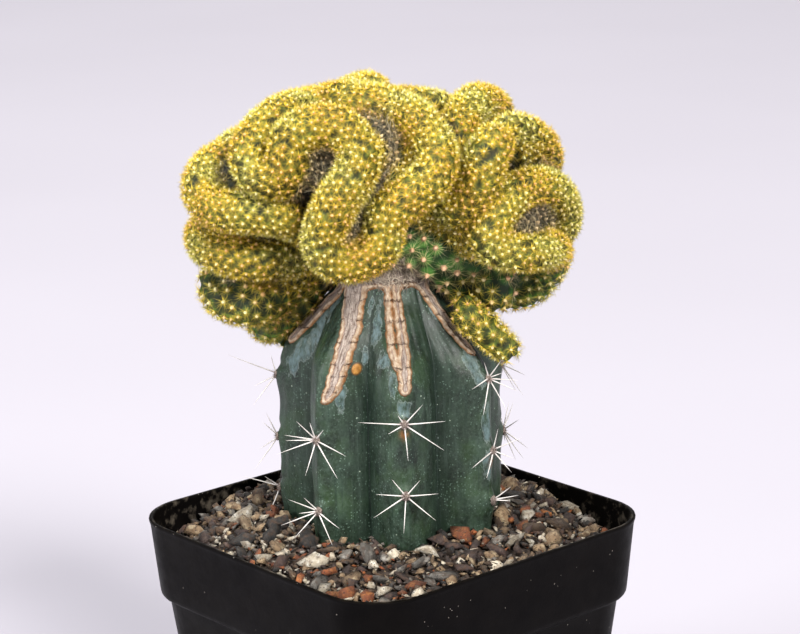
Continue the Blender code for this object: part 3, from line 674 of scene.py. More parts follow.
def turns(dice, tilt, count):
    """Random rotations: any heading, tilted by up to the given angle."""
    heading = dice.uniform(0, 2 * math.pi, count)
    lean = dice.uniform(-tilt, tilt, (count, 2))
    made = np.empty((count, 3, 3))
    for k in range(count):
        made[k] = np.array(Matrix.Rotation(lean[k, 0], 3, "X") @ Matrix.Rotation(lean[k, 1], 3, "Y")
                           @ Matrix.Rotation(heading[k], 3, "Z"))
    return made


class Scatter:
    """Keeps points apart: a grid of cells that remembers what lies where."""

    def __init__(self, cell):
        self.cell, self.taken = cell, {}

    def key(self, point):
        return tuple(int(math.floor(value / self.cell)) for value in point)

    def free(self, point, reach):
        spans = [range(value - 1, value + 2) for value in self.key(point)]
        return all(math.dist(point, other) >= reach for cell in itertools.product(*spans)
                   for other in self.taken.get(cell, ()))

    def add(self, point):
        self.taken.setdefault(self.key(point), []).append(tuple(point))


print("grit helpers ready")

# %% Stone materials
STONES = {
    "charcoal": (0.25, "131110", "2a2624", "4d4742"),
    "plum": (0.12, "2a1a18", "4c352f", "6f5b52"),
    "brown": (0.16, "35261b", "624a33", "8f7355"),
    "tan": (0.17, "7a6248", "b0926e", "d3bd98"),
    "rust": (0.09, "6b3216", "aa5a2a", "cf8442"),
    "cream": (0.17, "b8a88e", "e6dac3", "faf4e6"),
    "grey": (0.09, "56514b", "8b847b", "bfb8ad"),
}


def stone_material(name, dark, middle, light):
    made, tree, shader = new_material(name + "_stone")
    cloud = effect(tree, "mottle", Scale=0.32, Detail=6.0, Low=0.3, High=0.7)
    colour = blend_colours(tree, cloud, dark, middle)
    pale = effect(tree, "mottle", Scale=0.6, Detail=6.0, Low=0.5, High=0.66)
    colour = over(tree, colour, pale, light, 0.85)
    stain = effect(tree, "mottle", Scale=0.75, Detail=6.0, Low=0.48, High=0.62)
    colour = over(tree, colour, stain, "5e3f27", 0.6)
    pits = effect(tree, "specks", Scale=1.7, Size=0.3, Share=0.4)
    colour = over(tree, colour, pits, "16100c", 0.75)
    powder = effect(tree, "dust", Amount=0.09, Scale=0.9)
    colour = over(tree, colour, powder, "b3a690")
    value = between(tree, attribute(tree, "shade"), 0, 1, 0.34, 0.86)
    own = node(tree, "HueSaturation", {"Value": value, "Color": colour}).outputs["Color"]
    rough = between(tree, effect(tree, "mottle", Scale=0.8, Low=0.35, High=0.65), 0, 1, 0.55, 0.9)
    feed(tree, shader, {"Base Color": own, "Roughness": rough})
    roughen(tree, shader, 0.6, Scale=1.2, Grain=0.6)
    return made


print("stone kinds:", list(STONES))

# %% [markdown]
# The chips are counted by class of size. Each keeps clear of the wall and of the stem,
# and the larger it is the more of it stands above the bed.

# %% Place the grit
CHIP_CLASSES = [            # half-length, how many, spacing, rise, corners of the hull
    ((2.6, 4.3), 120, 1.0, 0.12, 14),
    ((1.6, 2.35), 430, 0.85, 0.15, 11),
    ((0.95, 1.5), 950, 0.78, 0.1, 9),
    ((0.45, 0.85), 2000, 0.75, 0.0, 8),
]
SHAPES_PER_CLASS = 14
TRIES_PER_CHIP = 14
BED_HALF = 43.5
CLASS_GAP = 40.0            # lifts each class clear of the others when room is checked


def place_chips(dice, stem_skin):
    """Centres, half-lengths and classes of all chips."""
    taken = Scatter(4.0)
    chips = []
    for rank, (sizes, count, spacing, rise, _) in enumerate(CHIP_CLASSES):
        made = tries = 0
        while made < count and tries < TRIES_PER_CHIP * count:
            tries += 1
            x, y = dice.uniform(-BED_HALF, BED_HALF, 2)
            size = dice.uniform(*sizes)
            z = float(surface_height(x, y))
            if room_in_pot(x, y, z) < size * 0.95 + 0.25:
                continue
            if stem_skin(x, y) < size * 0.8:
                continue
            # small chips may lie on a second layer, so they only keep clear in their own class
            spot = (float(x), float(y), rank * CLASS_GAP)
            if not taken.free(spot, spacing * 2 * size * 0.86):
                continue
            taken.add(spot)
            made += 1
            chips.append((x, y, z + rise * size + dice.uniform(-0.3, 0.5), size, rank))
    return np.array(chips)


def distance_to_stem(x, y):
    """Distance from a spot on the bed to the ribbed stem."""
    right = x * math.cos(FACING) + y * math.sin(FACING) - STOCK_SHIFT
    front = x * math.sin(FACING) - y * math.cos(FACING)
    return math.hypot(right, front) - float(stock_radius(math.atan2(right, front), 0.5))


print(sum(count for _, count, *_ in CHIP_CLASSES), "chips are wanted")

# %% [markdown]
# ## The stem's outline
#
# The stock is a seven-ribbed column that narrows to a collar where it was cut for the
# graft. Its outline is a short list of heights with two radii each, one on the ribs and
# one in the valleys. A flowing curve through the list gives the smooth shoulder, and a
# power of the distance from the nearest rib gives the flat faces between.

# %% Outline of the stock
BURIED = 24.0
STOCK_SHIFT = 1.1
STOCK_OUTLINE = np.array([
    (-BURIED, 9.0, 8.2), (-18, 17.0, 14.4), (-5, 25.0, 18.0), (4, 26.5, 18.8),
    (27, 26.6, 18.8), (34, 26.4, 18.8), (40, 25.2, 18.4), (44, 22.6, 17.6),
    (48, 19.0, 16.0), (52, 15.6, 14.0), (56, 12.4, 11.9), (61.4, 10.7, 10.5)])
RIB_ANGLES = (5.0, 55.5, 107.0, 158.0, 209.0, 266.0, 320.0)    # front = 0, right = 90


def flowing(points, per_span):
    """A Catmull-Rom curve through points, with the same number of steps in each span."""
    points = np.asarray(points, float)
    framed = np.vstack([2 * points[0] - points[1], points, 2 * points[-1] - points[-2]])
    t = np.linspace(0, 1, per_span, endpoint=False)[:, None]
    spans = []
    for k in range(1, len(framed) - 2):
        a, b, c, d = framed[k - 1:k + 3]
        spans.append(0.5 * (2 * b + (c - a) * t + (2 * a - 5 * b + 4 * c - d) * t ** 2
                            + (3 * b - a - 3 * c + d) * t ** 3))
    return np.vstack([*spans, framed[-2]])


SMOOTH_OUTLINE = flowing(STOCK_OUTLINE, 8)


def rib_phase(angle):
    """Which rib a heading is near, counted so that whole numbers are ribs."""
    stops = [RIB_ANGLES[-1] - 360.0, *RIB_ANGLES, RIB_ANGLES[0] + 360.0]
    return np.interp(np.degrees(angle) % 360.0, stops, range(-1, len(stops) - 1))


def stock_radius(angle, up):
    """Radius of the ribbed stem at a heading and a height."""
    tilt = 1.5 * np.sin(angle) * np.maximum(0, np.sin(math.pi * np.clip((up - 24) / 37.4, 0, 1)))
    level = up + tilt
    heights, ribs, valleys = SMOOTH_OUTLINE.T
    rib, valley = np.interp(level, heights, ribs), np.interp(level, heights, valleys)
    phase = rib_phase(angle)
    off = np.abs(phase - np.round(phase)) * 2.0
    share = 1.0 - (off ** 2 + 0.003) ** 0.575 + 0.003 ** 0.575
    return valley + (rib - valley) * share


print("radius on the front rib:", round(float(stock_radius(math.radians(5), 20)), 1), "mm")

# %% Make the grit
def make_grit():
    dice = np.random.default_rng(12)
    shapes = [[chip_shape(dice, corners) for _ in range(SHAPES_PER_CLASS)]
              for *_, corners in CHIP_CLASSES]
    chips = place_chips(dice, distance_to_stem)
    names = list(STONES)
    shares = np.array([STONES[name][0] for name in names])
    kinds = dice.choice(len(names), len(chips), p=shares / shares.sum())
    rotations = turns(dice, 0.8, len(chips))
    parts = {name: ([], [], []) for name in names}
    for k, (x, y, z, size, rank) in enumerate(chips):
        points, faces = shapes[int(rank)][dice.integers(SHAPES_PER_CLASS)]
        stretch = size * np.array([dice.uniform(1.0, 1.35), dice.uniform(0.6, 0.9),
                                   dice.uniform(0.32, 0.62)])
        placed = (points * stretch) @ rotations[k].T + (x, y, z)
        shades = np.full(len(placed), dice.uniform())
        for store, values in zip(parts[names[kinds[k]]], (placed, faces, shades)):
            store.append(values)
    for name, (points, faces, shades) in parts.items():
        starts = np.concatenate([[0], np.cumsum([len(p) for p in points])[:-1]])
        joined = np.vstack([f + start for f, start in zip(faces, starts)])
        piece = make_piece("grit_" + name, np.vstack(points), joined,
                           stone_material(name, *STONES[name][1:]), ["gravel"],
                           smooth=False)
        paint(piece, "shade", np.concatenate(shades))


make_grit()

# %% [markdown]
# ## Fines under the grit
#
# Between the chips lies a dark bed of dust and crumbs. A rough sheet follows the same
# surface a little lower, so that no gap looks into the empty pot.

# %% Fines
def fines_material():
    made, tree, shader = new_material("fines")
    lumps = effect(tree, "mottle", Scale=0.9, Detail=6.0, Low=0.3, High=0.7)
    colour = blend_colours(tree, lumps, "241c18", "54453a")
    grains = effect(tree, "specks", Scale=1.2, Size=0.32, Share=0.4)
    colour = over(tree, colour, grains, "8b7355", 0.8)
    rust = effect(tree, "specks", Scale=0.8, Size=0.25, Share=0.15)
    colour = over(tree, colour, rust, "8a4b24")
    feed(tree, shader, {"Base Color": colour, "Roughness": 0.95})
    roughen(tree, shader, 0.7, Scale=1.6, Grain=0.5)
    return made


def make_fines(rings=34):
    """A closed, crumbly sheet under the chips."""
    dice = np.random.default_rng(5)
    outline = np.array(square_ring(1.0, 0.3, 0.0, arc_steps=22, side_steps=22))[:, :2]
    sides = len(outline)
    rows = []
    for k in range(rings):
        share = 0.3 + 0.7 * k / (rings - 1)
        flat = outline * 43.0 * share
        z = surface_height(flat[:, 0], flat[:, 1])
        half = pot_inside(z)[0] - 0.25
        flat = outline * half[:, None] * share
        z = surface_height(flat[:, 0], flat[:, 1]) - 1.0 + dice.uniform(-0.45, 0.45, sides)
        rows.append(np.column_stack([flat, z]))
    low = rows[-1] - (0, 0, 1.8)
    hem = rows[0] - (0, 0, 1.8)
    rows = [hem, *rows, low]
    count = len(rows)
    # the last row joins the first, and the faces are turned to look outwards
    faces = wall_quads(count + 1, sides)[:, [0, 3, 2, 1]] % (count * sides)
    make_piece("fines", np.vstack(rows), faces, fines_material(), ["gravel"])


make_fines()

# %% [markdown]
# ## The stock's skin
#
# The skin is one sheet of points laid round the stem, row by row. Everything on it is a
# distance that each point knows: how far it is inside a cork strip, how far from the
# round scar, how deep in a valley. The same distances raise the cork's thick lips in the
# mesh and colour them in the material, so shape and colour always agree.
#
# Each cork strip was left when a rib's edge was trimmed for the graft. It follows its rib
# down from the collar and swings a little to one side.

# %% Cork strips and other marks
# each strip is a course from the collar down: heading in degrees, height, half-width
CORK_STRIPS = [
    [(-43, 57.0, 3.2), (-36.5, 53.0, 2.5), (-31.5, 49.7, 2.1), (-31, 43.2, 1.7), (-33.5, 37.0, 1.5),
     (-36.5, 33.6, 1.05)],
    [(-3.0, 56.5, 0.75), (-1.4, 51.5, 0.8), (-1.0, 49.5, 0.82), (-0.2, 46.0, 0.9), (2.0, 43.2, 0.9),
     (3.6, 41.5, 0.8)],
    [(6.2, 57.0, 0.95), (6.8, 53.0, 1.1), (7.4, 49.6, 1.15), (7.5, 46.0, 1.25), (6.6, 43.4, 1.55),
     (6.4, 40.5, 1.5), (6.2, 36.6, 1.2)],
    [(36, 59.0, 1.5), (45.5, 54.9, 1.5), (48.9, 50.9, 1.45), (51.2, 47.0, 1.4), (54.5, 42.2, 1.0)],
    [(-68, 57.2, 1.7), (-75, 54.2, 1.9), (-81, 51.2, 1.9), (-84, 47.4, 1.7), (-88, 42.8, 1.1)],
    [(104, 57.0, 1.3), (108, 50.0, 1.3), (107, 42.0, 0.9)],
    [(156, 57.0, 1.5), (161, 48.0, 1.4), (158, 38.5, 1.0)],
    [(212, 57.0, 1.4), (206, 49.0, 1.35), (209, 41.5, 0.9)],
]
SCAR_ANGLE, SCAR_UP, SCAR_RADIUS = math.radians(-23.2), 41.1, 1.25
AREOLE_HEIGHTS = {0: (30.3, 13.5), 1: (37.0, 20.0, 8.0), 2: (34.0, 17.5),
                  3: (31.0, 14.5), 4: (35.5, 19.0), 5: (34.5, 19.3, 6.6), 6: (25.2, 8.2)}
STAINED = ((0, 30.3), (1, 20.0))      # areoles with a rusty stain under them
# flakes of pale wax: heading in degrees, height, half-width and half-height in millimetres
WAX = [(295, 52.2, 2.0, 3.0), (289, 47.2, 2.4, 3.2), (283.5, 42.0, 2.4, 3.4),
       (277.5, 38.0, 1.8, 2.4), (330.5, 35.0, 1.2, 3.0), (340.6, 54.0, 1.0, 2.6),
       (341.0, 43.6, 0.9, 2.4), (354.4, 43.2, 1.4, 3.0), (348, 50, 1.2, 5.0),
       (42.4, 52.0, 0.8, 1.6), (49.8, 39.4, 1.8, 4.2), (5.8, 33.6, 1.5, 2.6),
       (359.6, 38.2, 1.0, 3.2), (53.8, 27.0, 1.2, 5.0), (53.5, 17.0, 1.3, 5.0),
       (150, 40, 2.5, 5), (200, 28, 2, 6), (240, 44, 2, 5), (110, 28, 2, 5)]


def around(angle, centre):
    """Signed turn from one heading to another, in radians."""
    return (angle - centre + math.pi) % (2 * math.pi) - math.pi


def strip_inside(angle, up, strip):
    """How far inside one cork strip a point lies (negative outside), and its place in it."""
    headings, heights, halves = np.array(strip).T[:, ::-1]
    across = around(angle, np.radians(np.interp(up, heights, headings))) * stock_radius(angle, up)
    half = (np.interp(up, heights, halves) + 0.1 * np.sin(up * 1.9 + heights[0])
            + 0.06 * np.sin(up * 4.3))
    below = np.maximum(heights[0] + half - up, 0.0)
    return half - np.hypot(across, below), across


def soft_max(first, second, blend):
    """The larger of two values, with a rounded change-over."""
    gap = np.clip(np.abs(first - second) / blend, 0, 30)
    return np.maximum(first, second) + blend * np.log1p(np.exp(-gap))


def cork_inside(angle, up):
    """Deepest reach into any cork, with the place across that strip."""
    best, across = strip_inside(angle, up, CORK_STRIPS[0])
    for number, strip in enumerate(CORK_STRIPS[1:], 1):
        inside, place = strip_inside(angle, up, strip)
        across = np.where(inside > best, place + 10.0 * number, across)
        best = soft_max(best, inside, 0.07)
    # the strips run together into a collar under the graft
    ragged = 0.35 * np.sin(angle * 7 + 1) + 0.2 * np.sin(angle * 17)
    collar = (up - 58.0 - ragged) * 0.9
    across = np.where(collar > best, angle * 11.0, across)
    return soft_max(best, collar, 0.45), across


print(len(CORK_STRIPS), "cork strips,", sum(map(len, AREOLE_HEIGHTS.values())), "areoles")

# %% Stock material
def stock_material():
    made, tree, shader = new_material("stock_skin")
    cloud = effect(tree, "mottle", Scale=0.22, Stretch=0.7, Detail=6.0, Low=0.34, High=0.66)
    skin = blend_colours(tree, cloud, "0e1710", "253526")
    leafy = effect(tree, "mottle", Scale=0.12, Detail=4.0, Low=0.5, High=0.68)
    skin = over(tree, skin, leafy, "2a401f", 0.6)
    valley = attribute(tree, "valley")
    bloom = effect(tree, "mottle", Scale=0.3, Stretch=0.5, Detail=6.0, Low=0.42, High=0.66)
    skin = over(tree, skin, bloom, "475c4e", 0.32)
    rough = effect(tree, "mottle", Scale=1.5, Detail=7.0, Low=0.44, High=0.62)
    skin = over(tree, skin, rough, "56655a", 0.18)
    streak = effect(tree, "mottle", Scale=1.3, Stretch=0.05, Detail=3.0, Low=0.52, High=0.7)
    lined = times(tree, streak, between(tree, valley, 0.45, 0.95, 0.0, 0.5))
    skin = over(tree, skin, lined, "5a6a61")
    thread = effect(tree, "mottle", Scale=1.1, Stretch=0.03, Detail=2.0, Low=0.6, High=0.66)
    skin = over(tree, skin, thread, "17271e", 0.5)
    # painted shade: the skin darkens towards the middle of each valley between the ribs, with a
    # darker line along its bottom
    shade = between(tree, valley, 0.35, 0.9, 0.0, 0.62)
    skin = over(tree, skin, shade, "131f17")
    valley_floor_shade = between(tree, valley, 0.93, 1.0)
    skin = over(tree, skin, valley_floor_shade, "14221b", 0.7)
    pores = effect(tree, "specks", Scale=1.7, Size=0.3, Share=0.6)
    dotted = times(tree, pores, effect(tree, "mottle", Scale=0.25, Detail=3.0, Low=0.42, High=0.62))
    skin = over(tree, skin, dotted, "62786a", 0.6)
    flaky = maths(tree, "ADD", attribute(tree, "wax"),
                  effect(tree, "mottle", Scale=0.42, Stretch=0.6, Detail=7.0, Low=0.3, High=0.72))
    flake = between(tree, flaky, 0.98, 1.2)
    worn = effect(tree, "mottle", Scale=0.9, Stretch=0.5, Detail=6.0, Low=0.35, High=0.62)
    worn = between(tree, worn, 0, 1, 0.05, 0.72)
    skin = over(tree, skin, times(tree, flake, worn), "64787a")
    edge = times(tree, between(tree, flaky, 0.92, 1.0), between(tree, flaky, 1.12, 1.02))
    skin = over(tree, skin, edge, "a9b6b2", 0.2)
    pale = effect(tree, "specks", Scale=0.5, Size=0.1, Share=0.15)
    skin = over(tree, skin, pale, "a9b8a4", 0.5)
    stain = times(tree, attribute(tree, "stain"),
                  effect(tree, "mottle", Scale=0.6, Detail=4.0, Low=0.35, High=0.6))
    skin = over(tree, skin, stain, "8a5a2b")
    cork, depth, crack = cork_colour(tree)
    colour = blend_colours(tree, between(tree, depth, -0.26, -0.16), skin, cork)
    scar = attribute(tree, "scar")
    corky = effect(tree, "mottle", Scale=1.2, Low=0.35, High=0.65)
    disc = blend_colours(tree, corky, "7d5320", "a8783a")
    colour = blend_colours(tree, between(tree, scar, -0.05, 0.1), colour, disc)
    ring = times(tree, between(tree, scar, -0.35, -0.05), between(tree, scar, 0.25, -0.05))
    colour = over(tree, colour, ring, "573c1c", 0.8)
    waxy = between(tree, cloud, 0, 1, 0.36, 0.5)
    dull = mix_numbers(tree, between(tree, depth, -0.2, 0.0), waxy, 0.85)
    feed(tree, shader, {"Base Color": colour, "Roughness": dull, "Specular IOR Level": 0.3})
    skin_relief = effect(tree, "relief", Scale=1.3, Stretch=0.4, Grain=0.5)
    cork_relief = effect(tree, "relief", Scale=2.2, Stretch=0.3, Grain=0.5)
    carved = maths(tree, "SUBTRACT", cork_relief, crack)
    raised = maths(tree, "ADD", times(tree, skin_relief, 0.3), times(tree, flake, 0.12))
    bump(tree, shader, mix_numbers(tree, between(tree, depth, -0.2, 0.0), raised, carved), 0.4)
    return made


def cork_colour(tree):
    """Fibres in the trough, pale lips with cracks across, and a rusty outer edge."""
    grain = attribute(tree, "grain", "Vector")
    depth = maths(tree, "ADD", attribute(tree, "cork"),
                  between(tree, effect(tree, "mottle", Scale=1.8, Low=0.2, High=0.8),
                          0, 1, -0.1, 0.1))
    strands = node(tree, "VectorMath", {0: grain, 1: (2.8, 0.4, 1.0)}, operation="MULTIPLY")
    fibre = noise(tree, strands.outputs["Vector"], 1.0, 6.0, 0.75)
    trough = blend_colours(tree, between(tree, fibre, 0.38, 0.6), "5f4f46", "b7a99d")
    torn = noise(tree, grain, 1.9, 4.0, 0.7)
    trough = over(tree, trough, between(tree, torn, 0.56, 0.64), "57392e", 0.8)
    cloud = effect(tree, "mottle", Scale=1.1, Detail=4.0, Low=0.35, High=0.65)
    lips = blend_colours(tree, cloud, "967b61", "c6b49d")
    colour = blend_colours(tree, between(tree, depth, 1.0, 0.72), trough, lips)
    seam = times(tree, between(tree, depth, 0.72, 0.86), between(tree, depth, 1.1, 0.92))
    colour = over(tree, colour, seam, "7a5138", 0.45)
    rim = times(tree, between(tree, depth, 0.34, 0.1),
                effect(tree, "mottle", Scale=0.5, Detail=3.0, Low=0.3, High=0.6))
    colour = over(tree, colour, rim, "92602c", 0.85)
    outline = between(tree, depth, 0.06, -0.08)
    colour = over(tree, colour, outline, "6b4523", 0.85)
    place = node(tree, "SeparateXYZ", {0: grain})
    slant = maths(tree, "MULTIPLY_ADD", torn, 2.2, place.outputs["Y"])
    bands = node(tree, "TexVoronoi", {"W": slant, "Scale": 0.27, "Randomness": 1.0},
                 voronoi_dimensions="1D", feature="DISTANCE_TO_EDGE")
    line = between(tree, bands.outputs["Distance"], 0.05, 0.02)
    broken = effect(tree, "mottle", Scale=0.5, Detail=3.0, Low=0.38, High=0.52)
    crack = times(tree, times(tree, line, broken), between(tree, depth, 1.35, 0.9))
    colour = over(tree, colour, crack, "4b2f22", 0.85)
    return colour, depth, crack


print("cork and skin are ready to be mixed")

# %% Skin of the stock
STEPS_AFTER_RIB = (84, 60, 46, 46, 46, 84, 84)      # finer where the broad strips are


def make_stock_skin():
    angles = []
    for k, (start, steps) in enumerate(zip(RIB_ANGLES, STEPS_AFTER_RIB)):
        end = RIB_ANGLES[k + 1] if k + 1 < len(RIB_ANGLES) else RIB_ANGLES[0] + 360.0
        angles.append(np.linspace(start, end, steps, endpoint=False))
    angles = np.radians(np.concatenate(angles))
    levels = np.concatenate([np.linspace(-8, 32, 66, endpoint=False),
                             np.linspace(32, GRAFT_HEIGHT, 124)])
    angle, up = np.meshgrid(angles, levels)
    radius = stock_radius(angle, up)
    cork, across = cork_inside(angle, up)
    # thick lips along the edges, a shallow trough between them
    lip = 0.5 * np.exp(-((cork - 0.52) / 0.36) ** 2) + 0.2 * smoothstep(cork, 0.1, 0.9)
    notch = -0.16 * np.exp(-((cork + 0.14) / 0.16) ** 2)
    uneven = 0.09 * np.sin(up * 2.7 + across) * smoothstep(cork, 0.3, 1.0)
    scar = SCAR_RADIUS - np.hypot(around(angle, SCAR_ANGLE) * radius * 1.45, up - SCAR_UP)
    dome = 0.4 * smoothstep(scar, -0.1, 0.5)
    seat = np.zeros_like(radius)
    stain = np.zeros_like(radius)
    for rib, heights in AREOLE_HEIGHTS.items():
        side = around(angle, math.radians(RIB_ANGLES[rib])) * radius
        for height in heights:
            seat += 0.7 * np.exp(-(side / 3.2) ** 2 - ((up - height) / 4.0) ** 2)
            seat -= 0.5 * np.exp(-(side / 2.6) ** 2 - ((up - height - 2.6) / 1.1) ** 2)
            if (rib, height) in STAINED:
                stain += np.exp(-(side / 0.9) ** 2 - ((up - height + 2.4) / 1.3) ** 2)
    wax = np.zeros_like(radius)
    for heading, height, wide, tall in WAX:
        side = around(angle, math.radians(heading)) * radius
        wax = np.maximum(wax, 1.15 - np.hypot(side / wide, (up - height) / tall) * 0.75)
    wrinkle = (0.10 * np.sin(angle * 53 + 2 * np.sin(up * 0.13)) * np.sin(up * 0.21 + angle * 3)
               + 0.14 * np.sin(up * 0.5 + angle * 4.0) * np.sin(angle * 9))
    radius = radius + lip + notch + uneven + dome + seat * smoothstep(up, -2, 4) + wrinkle
    points = np.column_stack([(radius * np.sin(angle)).ravel() + STOCK_SHIFT,
                              -(radius * np.cos(angle)).ravel(), up.ravel()])
    faces = [wall_quads(*angle.shape), *end_caps(*angle.shape)]
    skin = make_piece("stock_skin", from_plant(points), faces, stock_material(),
                      ["rootstock"])
    phase = rib_phase(angle)
    paint(skin, "cork", np.clip(cork, -3, 3).ravel())
    paint(skin, "grain", np.column_stack([across.ravel(), up.ravel(), np.zeros(up.size)]))
    paint(skin, "valley", (np.abs(phase - np.round(phase)) * 2).ravel())
    paint(skin, "scar", np.clip(scar, -3, 3).ravel())
    paint(skin, "wax", wax.ravel())
    paint(skin, "stain", stain.ravel())


make_stock_skin()

# %% [markdown]
# ## Spines of the stock
#
# Each areole is a small felted cushion with a star of stiff pale spines. The four that
# face the viewer, and those at both sides, repeat the photo's own stars, given as
# directions and lengths seen from the front. The others follow the same habit: longer
# spines at the sides and below, shorter ones above. A spine is a tapering six-sided tube,
# bent very slightly, thicker at its foot.

# %% Spine shapes
STARS = {       # rib and height of the areole: pairs of direction in degrees and length
    (0, 30.3): [(170, 9.6), (120, 2.4), (51, 6.2), (8, 8.6), (-31, 9.9), (-85, 7.6), (205, 3.5)],
    (0, 13.5): [(168, 6.6), (124, 5.2), (53, 5.0), (8, 6.6), (-38, 8.2), (-95, 7.6), (208, 8.0)],
    (6, 25.2): [(165, 6.6), (129, 6.2), (107, 4.3), (60, 3.3), (-10, 6.4), (-56, 7.8), (252, 7.7),
                (194, 8.5), (175, 6.4)],
    (6, 8.2): [(150, 7.3), (129, 4.6), (180, 4.0), (195, 8.4), (224, 7.5), (-63, 6.8), (-26, 4.9)],
    (1, 37.0): [(184, 3.8), (105, 4.1), (55, 5.0), (25, 3.0), (254, 5.9), (-59, 8.0), (0, 6.3),
                (-20, 6.8)],
    (1, 20.0): [(188, 4.9), (79, 5.2), (27, 7.1), (-18, 4.7), (-48, 6.0), (252, 5.0)],
    (1, 8.0): [(39, 5.0), (13, 5.6), (0, 3.6)],
    (5, 34.5): [(154, 11.7), (200, 5.2), (228, 8.4), (103, 5.0)],
    (5, 19.3): [(132, 5.0), (113, 6.2), (209, 4.8), (233, 8.7)],
    (5, 6.6): [(157, 9.3), (246, 7.0), (140, 4.5)],
}
SPINE_RADIUS = 0.18
SPINE_SIDES = 6
# places along a spine and its thickness there, both as shares
SPINE_PROFILE = [(0.0, 1.25), (0.06, 1.0), (0.4, 0.82), (0.75, 0.5), (1.0, 0.1)]


def tangent_frame(angle, up):
    """Foot point, outward, sideways and upward directions on the stem's skin."""
    radius = float(stock_radius(angle, up)) + 0.7
    slope = float(stock_radius(angle, up - 1) - stock_radius(angle, up + 1)) / 2
    foot = np.array([radius * math.sin(angle) + STOCK_SHIFT, -radius * math.cos(angle), up])
    out = unit(np.array([math.sin(angle), -math.cos(angle), slope]))
    side = np.array([math.cos(angle), math.sin(angle), 0.0])
    return foot, out, side, np.cross(out, side)


def bent_spines(feet, ways, lengths, bends):
    """Tapering tubes with a slight bend, as points and faces."""
    count, rings, sides = len(feet), len(SPINE_PROFILE), SPINE_SIDES
    side, other = square_axes(ways)
    turn = np.linspace(0, 2 * math.pi, sides, endpoint=False)
    points = np.empty((count, rings * sides + 1, 3))
    for r, (share, thick) in enumerate(SPINE_PROFILE):
        middle = feet + ways * (lengths * share)[:, None] + bends * (lengths * share ** 2)[:, None]
        for s, angle in enumerate(turn):
            spoke = side * math.cos(angle) + other * math.sin(angle)
            points[:, r * sides + s] = middle + spoke * (SPINE_RADIUS * thick)
    points[:, -1] = feet + (ways + bends) * (lengths * 1.02)[:, None]
    last = (rings - 1) * sides
    tris = [(last + s, last + (s + 1) % sides, rings * sides) for s in range(sides)]
    tris += [(0, s + 1, s) for s in range(1, sides - 1)]
    faces = [copies(shape, count, points.shape[1]) for shape in (wall_quads(rings, sides), tris)]
    return points.reshape(-1, 3), faces


def spine_material():
    """Pale horn: chalky white with a brownish foot and a fine lengthwise grain."""
    made, tree, shader = new_material("stock_spines")
    cloud = effect(tree, "mottle", Scale=0.7, Detail=3.0, Low=0.3, High=0.7)
    horn = blend_colours(tree, cloud, "b6afa9", "e0dbd6")
    colour = blend_colours(tree, between(tree, attribute(tree, "along"), 0.0, 0.16), "77605c", horn)
    feed(tree, shader, {"Base Color": colour, "Roughness": 0.5})
    roughen(tree, shader, 0.05, Scale=3.0, Grain=0.5)
    return made


def cushion_material():
    made, tree, shader = new_material("areole_felt")
    felt = effect(tree, "mottle", Scale=2.4, Detail=5.0, Low=0.3, High=0.7)
    colour = blend_colours(tree, felt, "4d3c38", "a39488")
    feed(tree, shader, {"Base Color": colour, "Roughness": 0.95})
    roughen(tree, shader, 0.3, Scale=4.0, Grain=0.6)
    return made


print(len(STARS), "stars as the photo shows them")

# %% Spines and cushions of the stock
def ball(level):
    """Points and faces of an icosphere of radius one."""
    bm = bmesh.new()
    bmesh.ops.create_icosphere(bm, subdivisions=level, radius=1.0)
    return arrays_of(bm)


def star_of(rib, height, dice):
    """Directions and lengths of one areole's spines."""
    if (rib, height) in STARS:
        return STARS[(rib, height)]
    star = []
    for k in range(8):
        turn = 360 * (k + dice.uniform(-0.25, 0.25)) / 8 + 15
        low = 0.5 - 0.5 * math.sin(math.radians(turn))
        star.append((turn, dice.uniform(5.2, 7.0) + 2.8 * low))
    return star


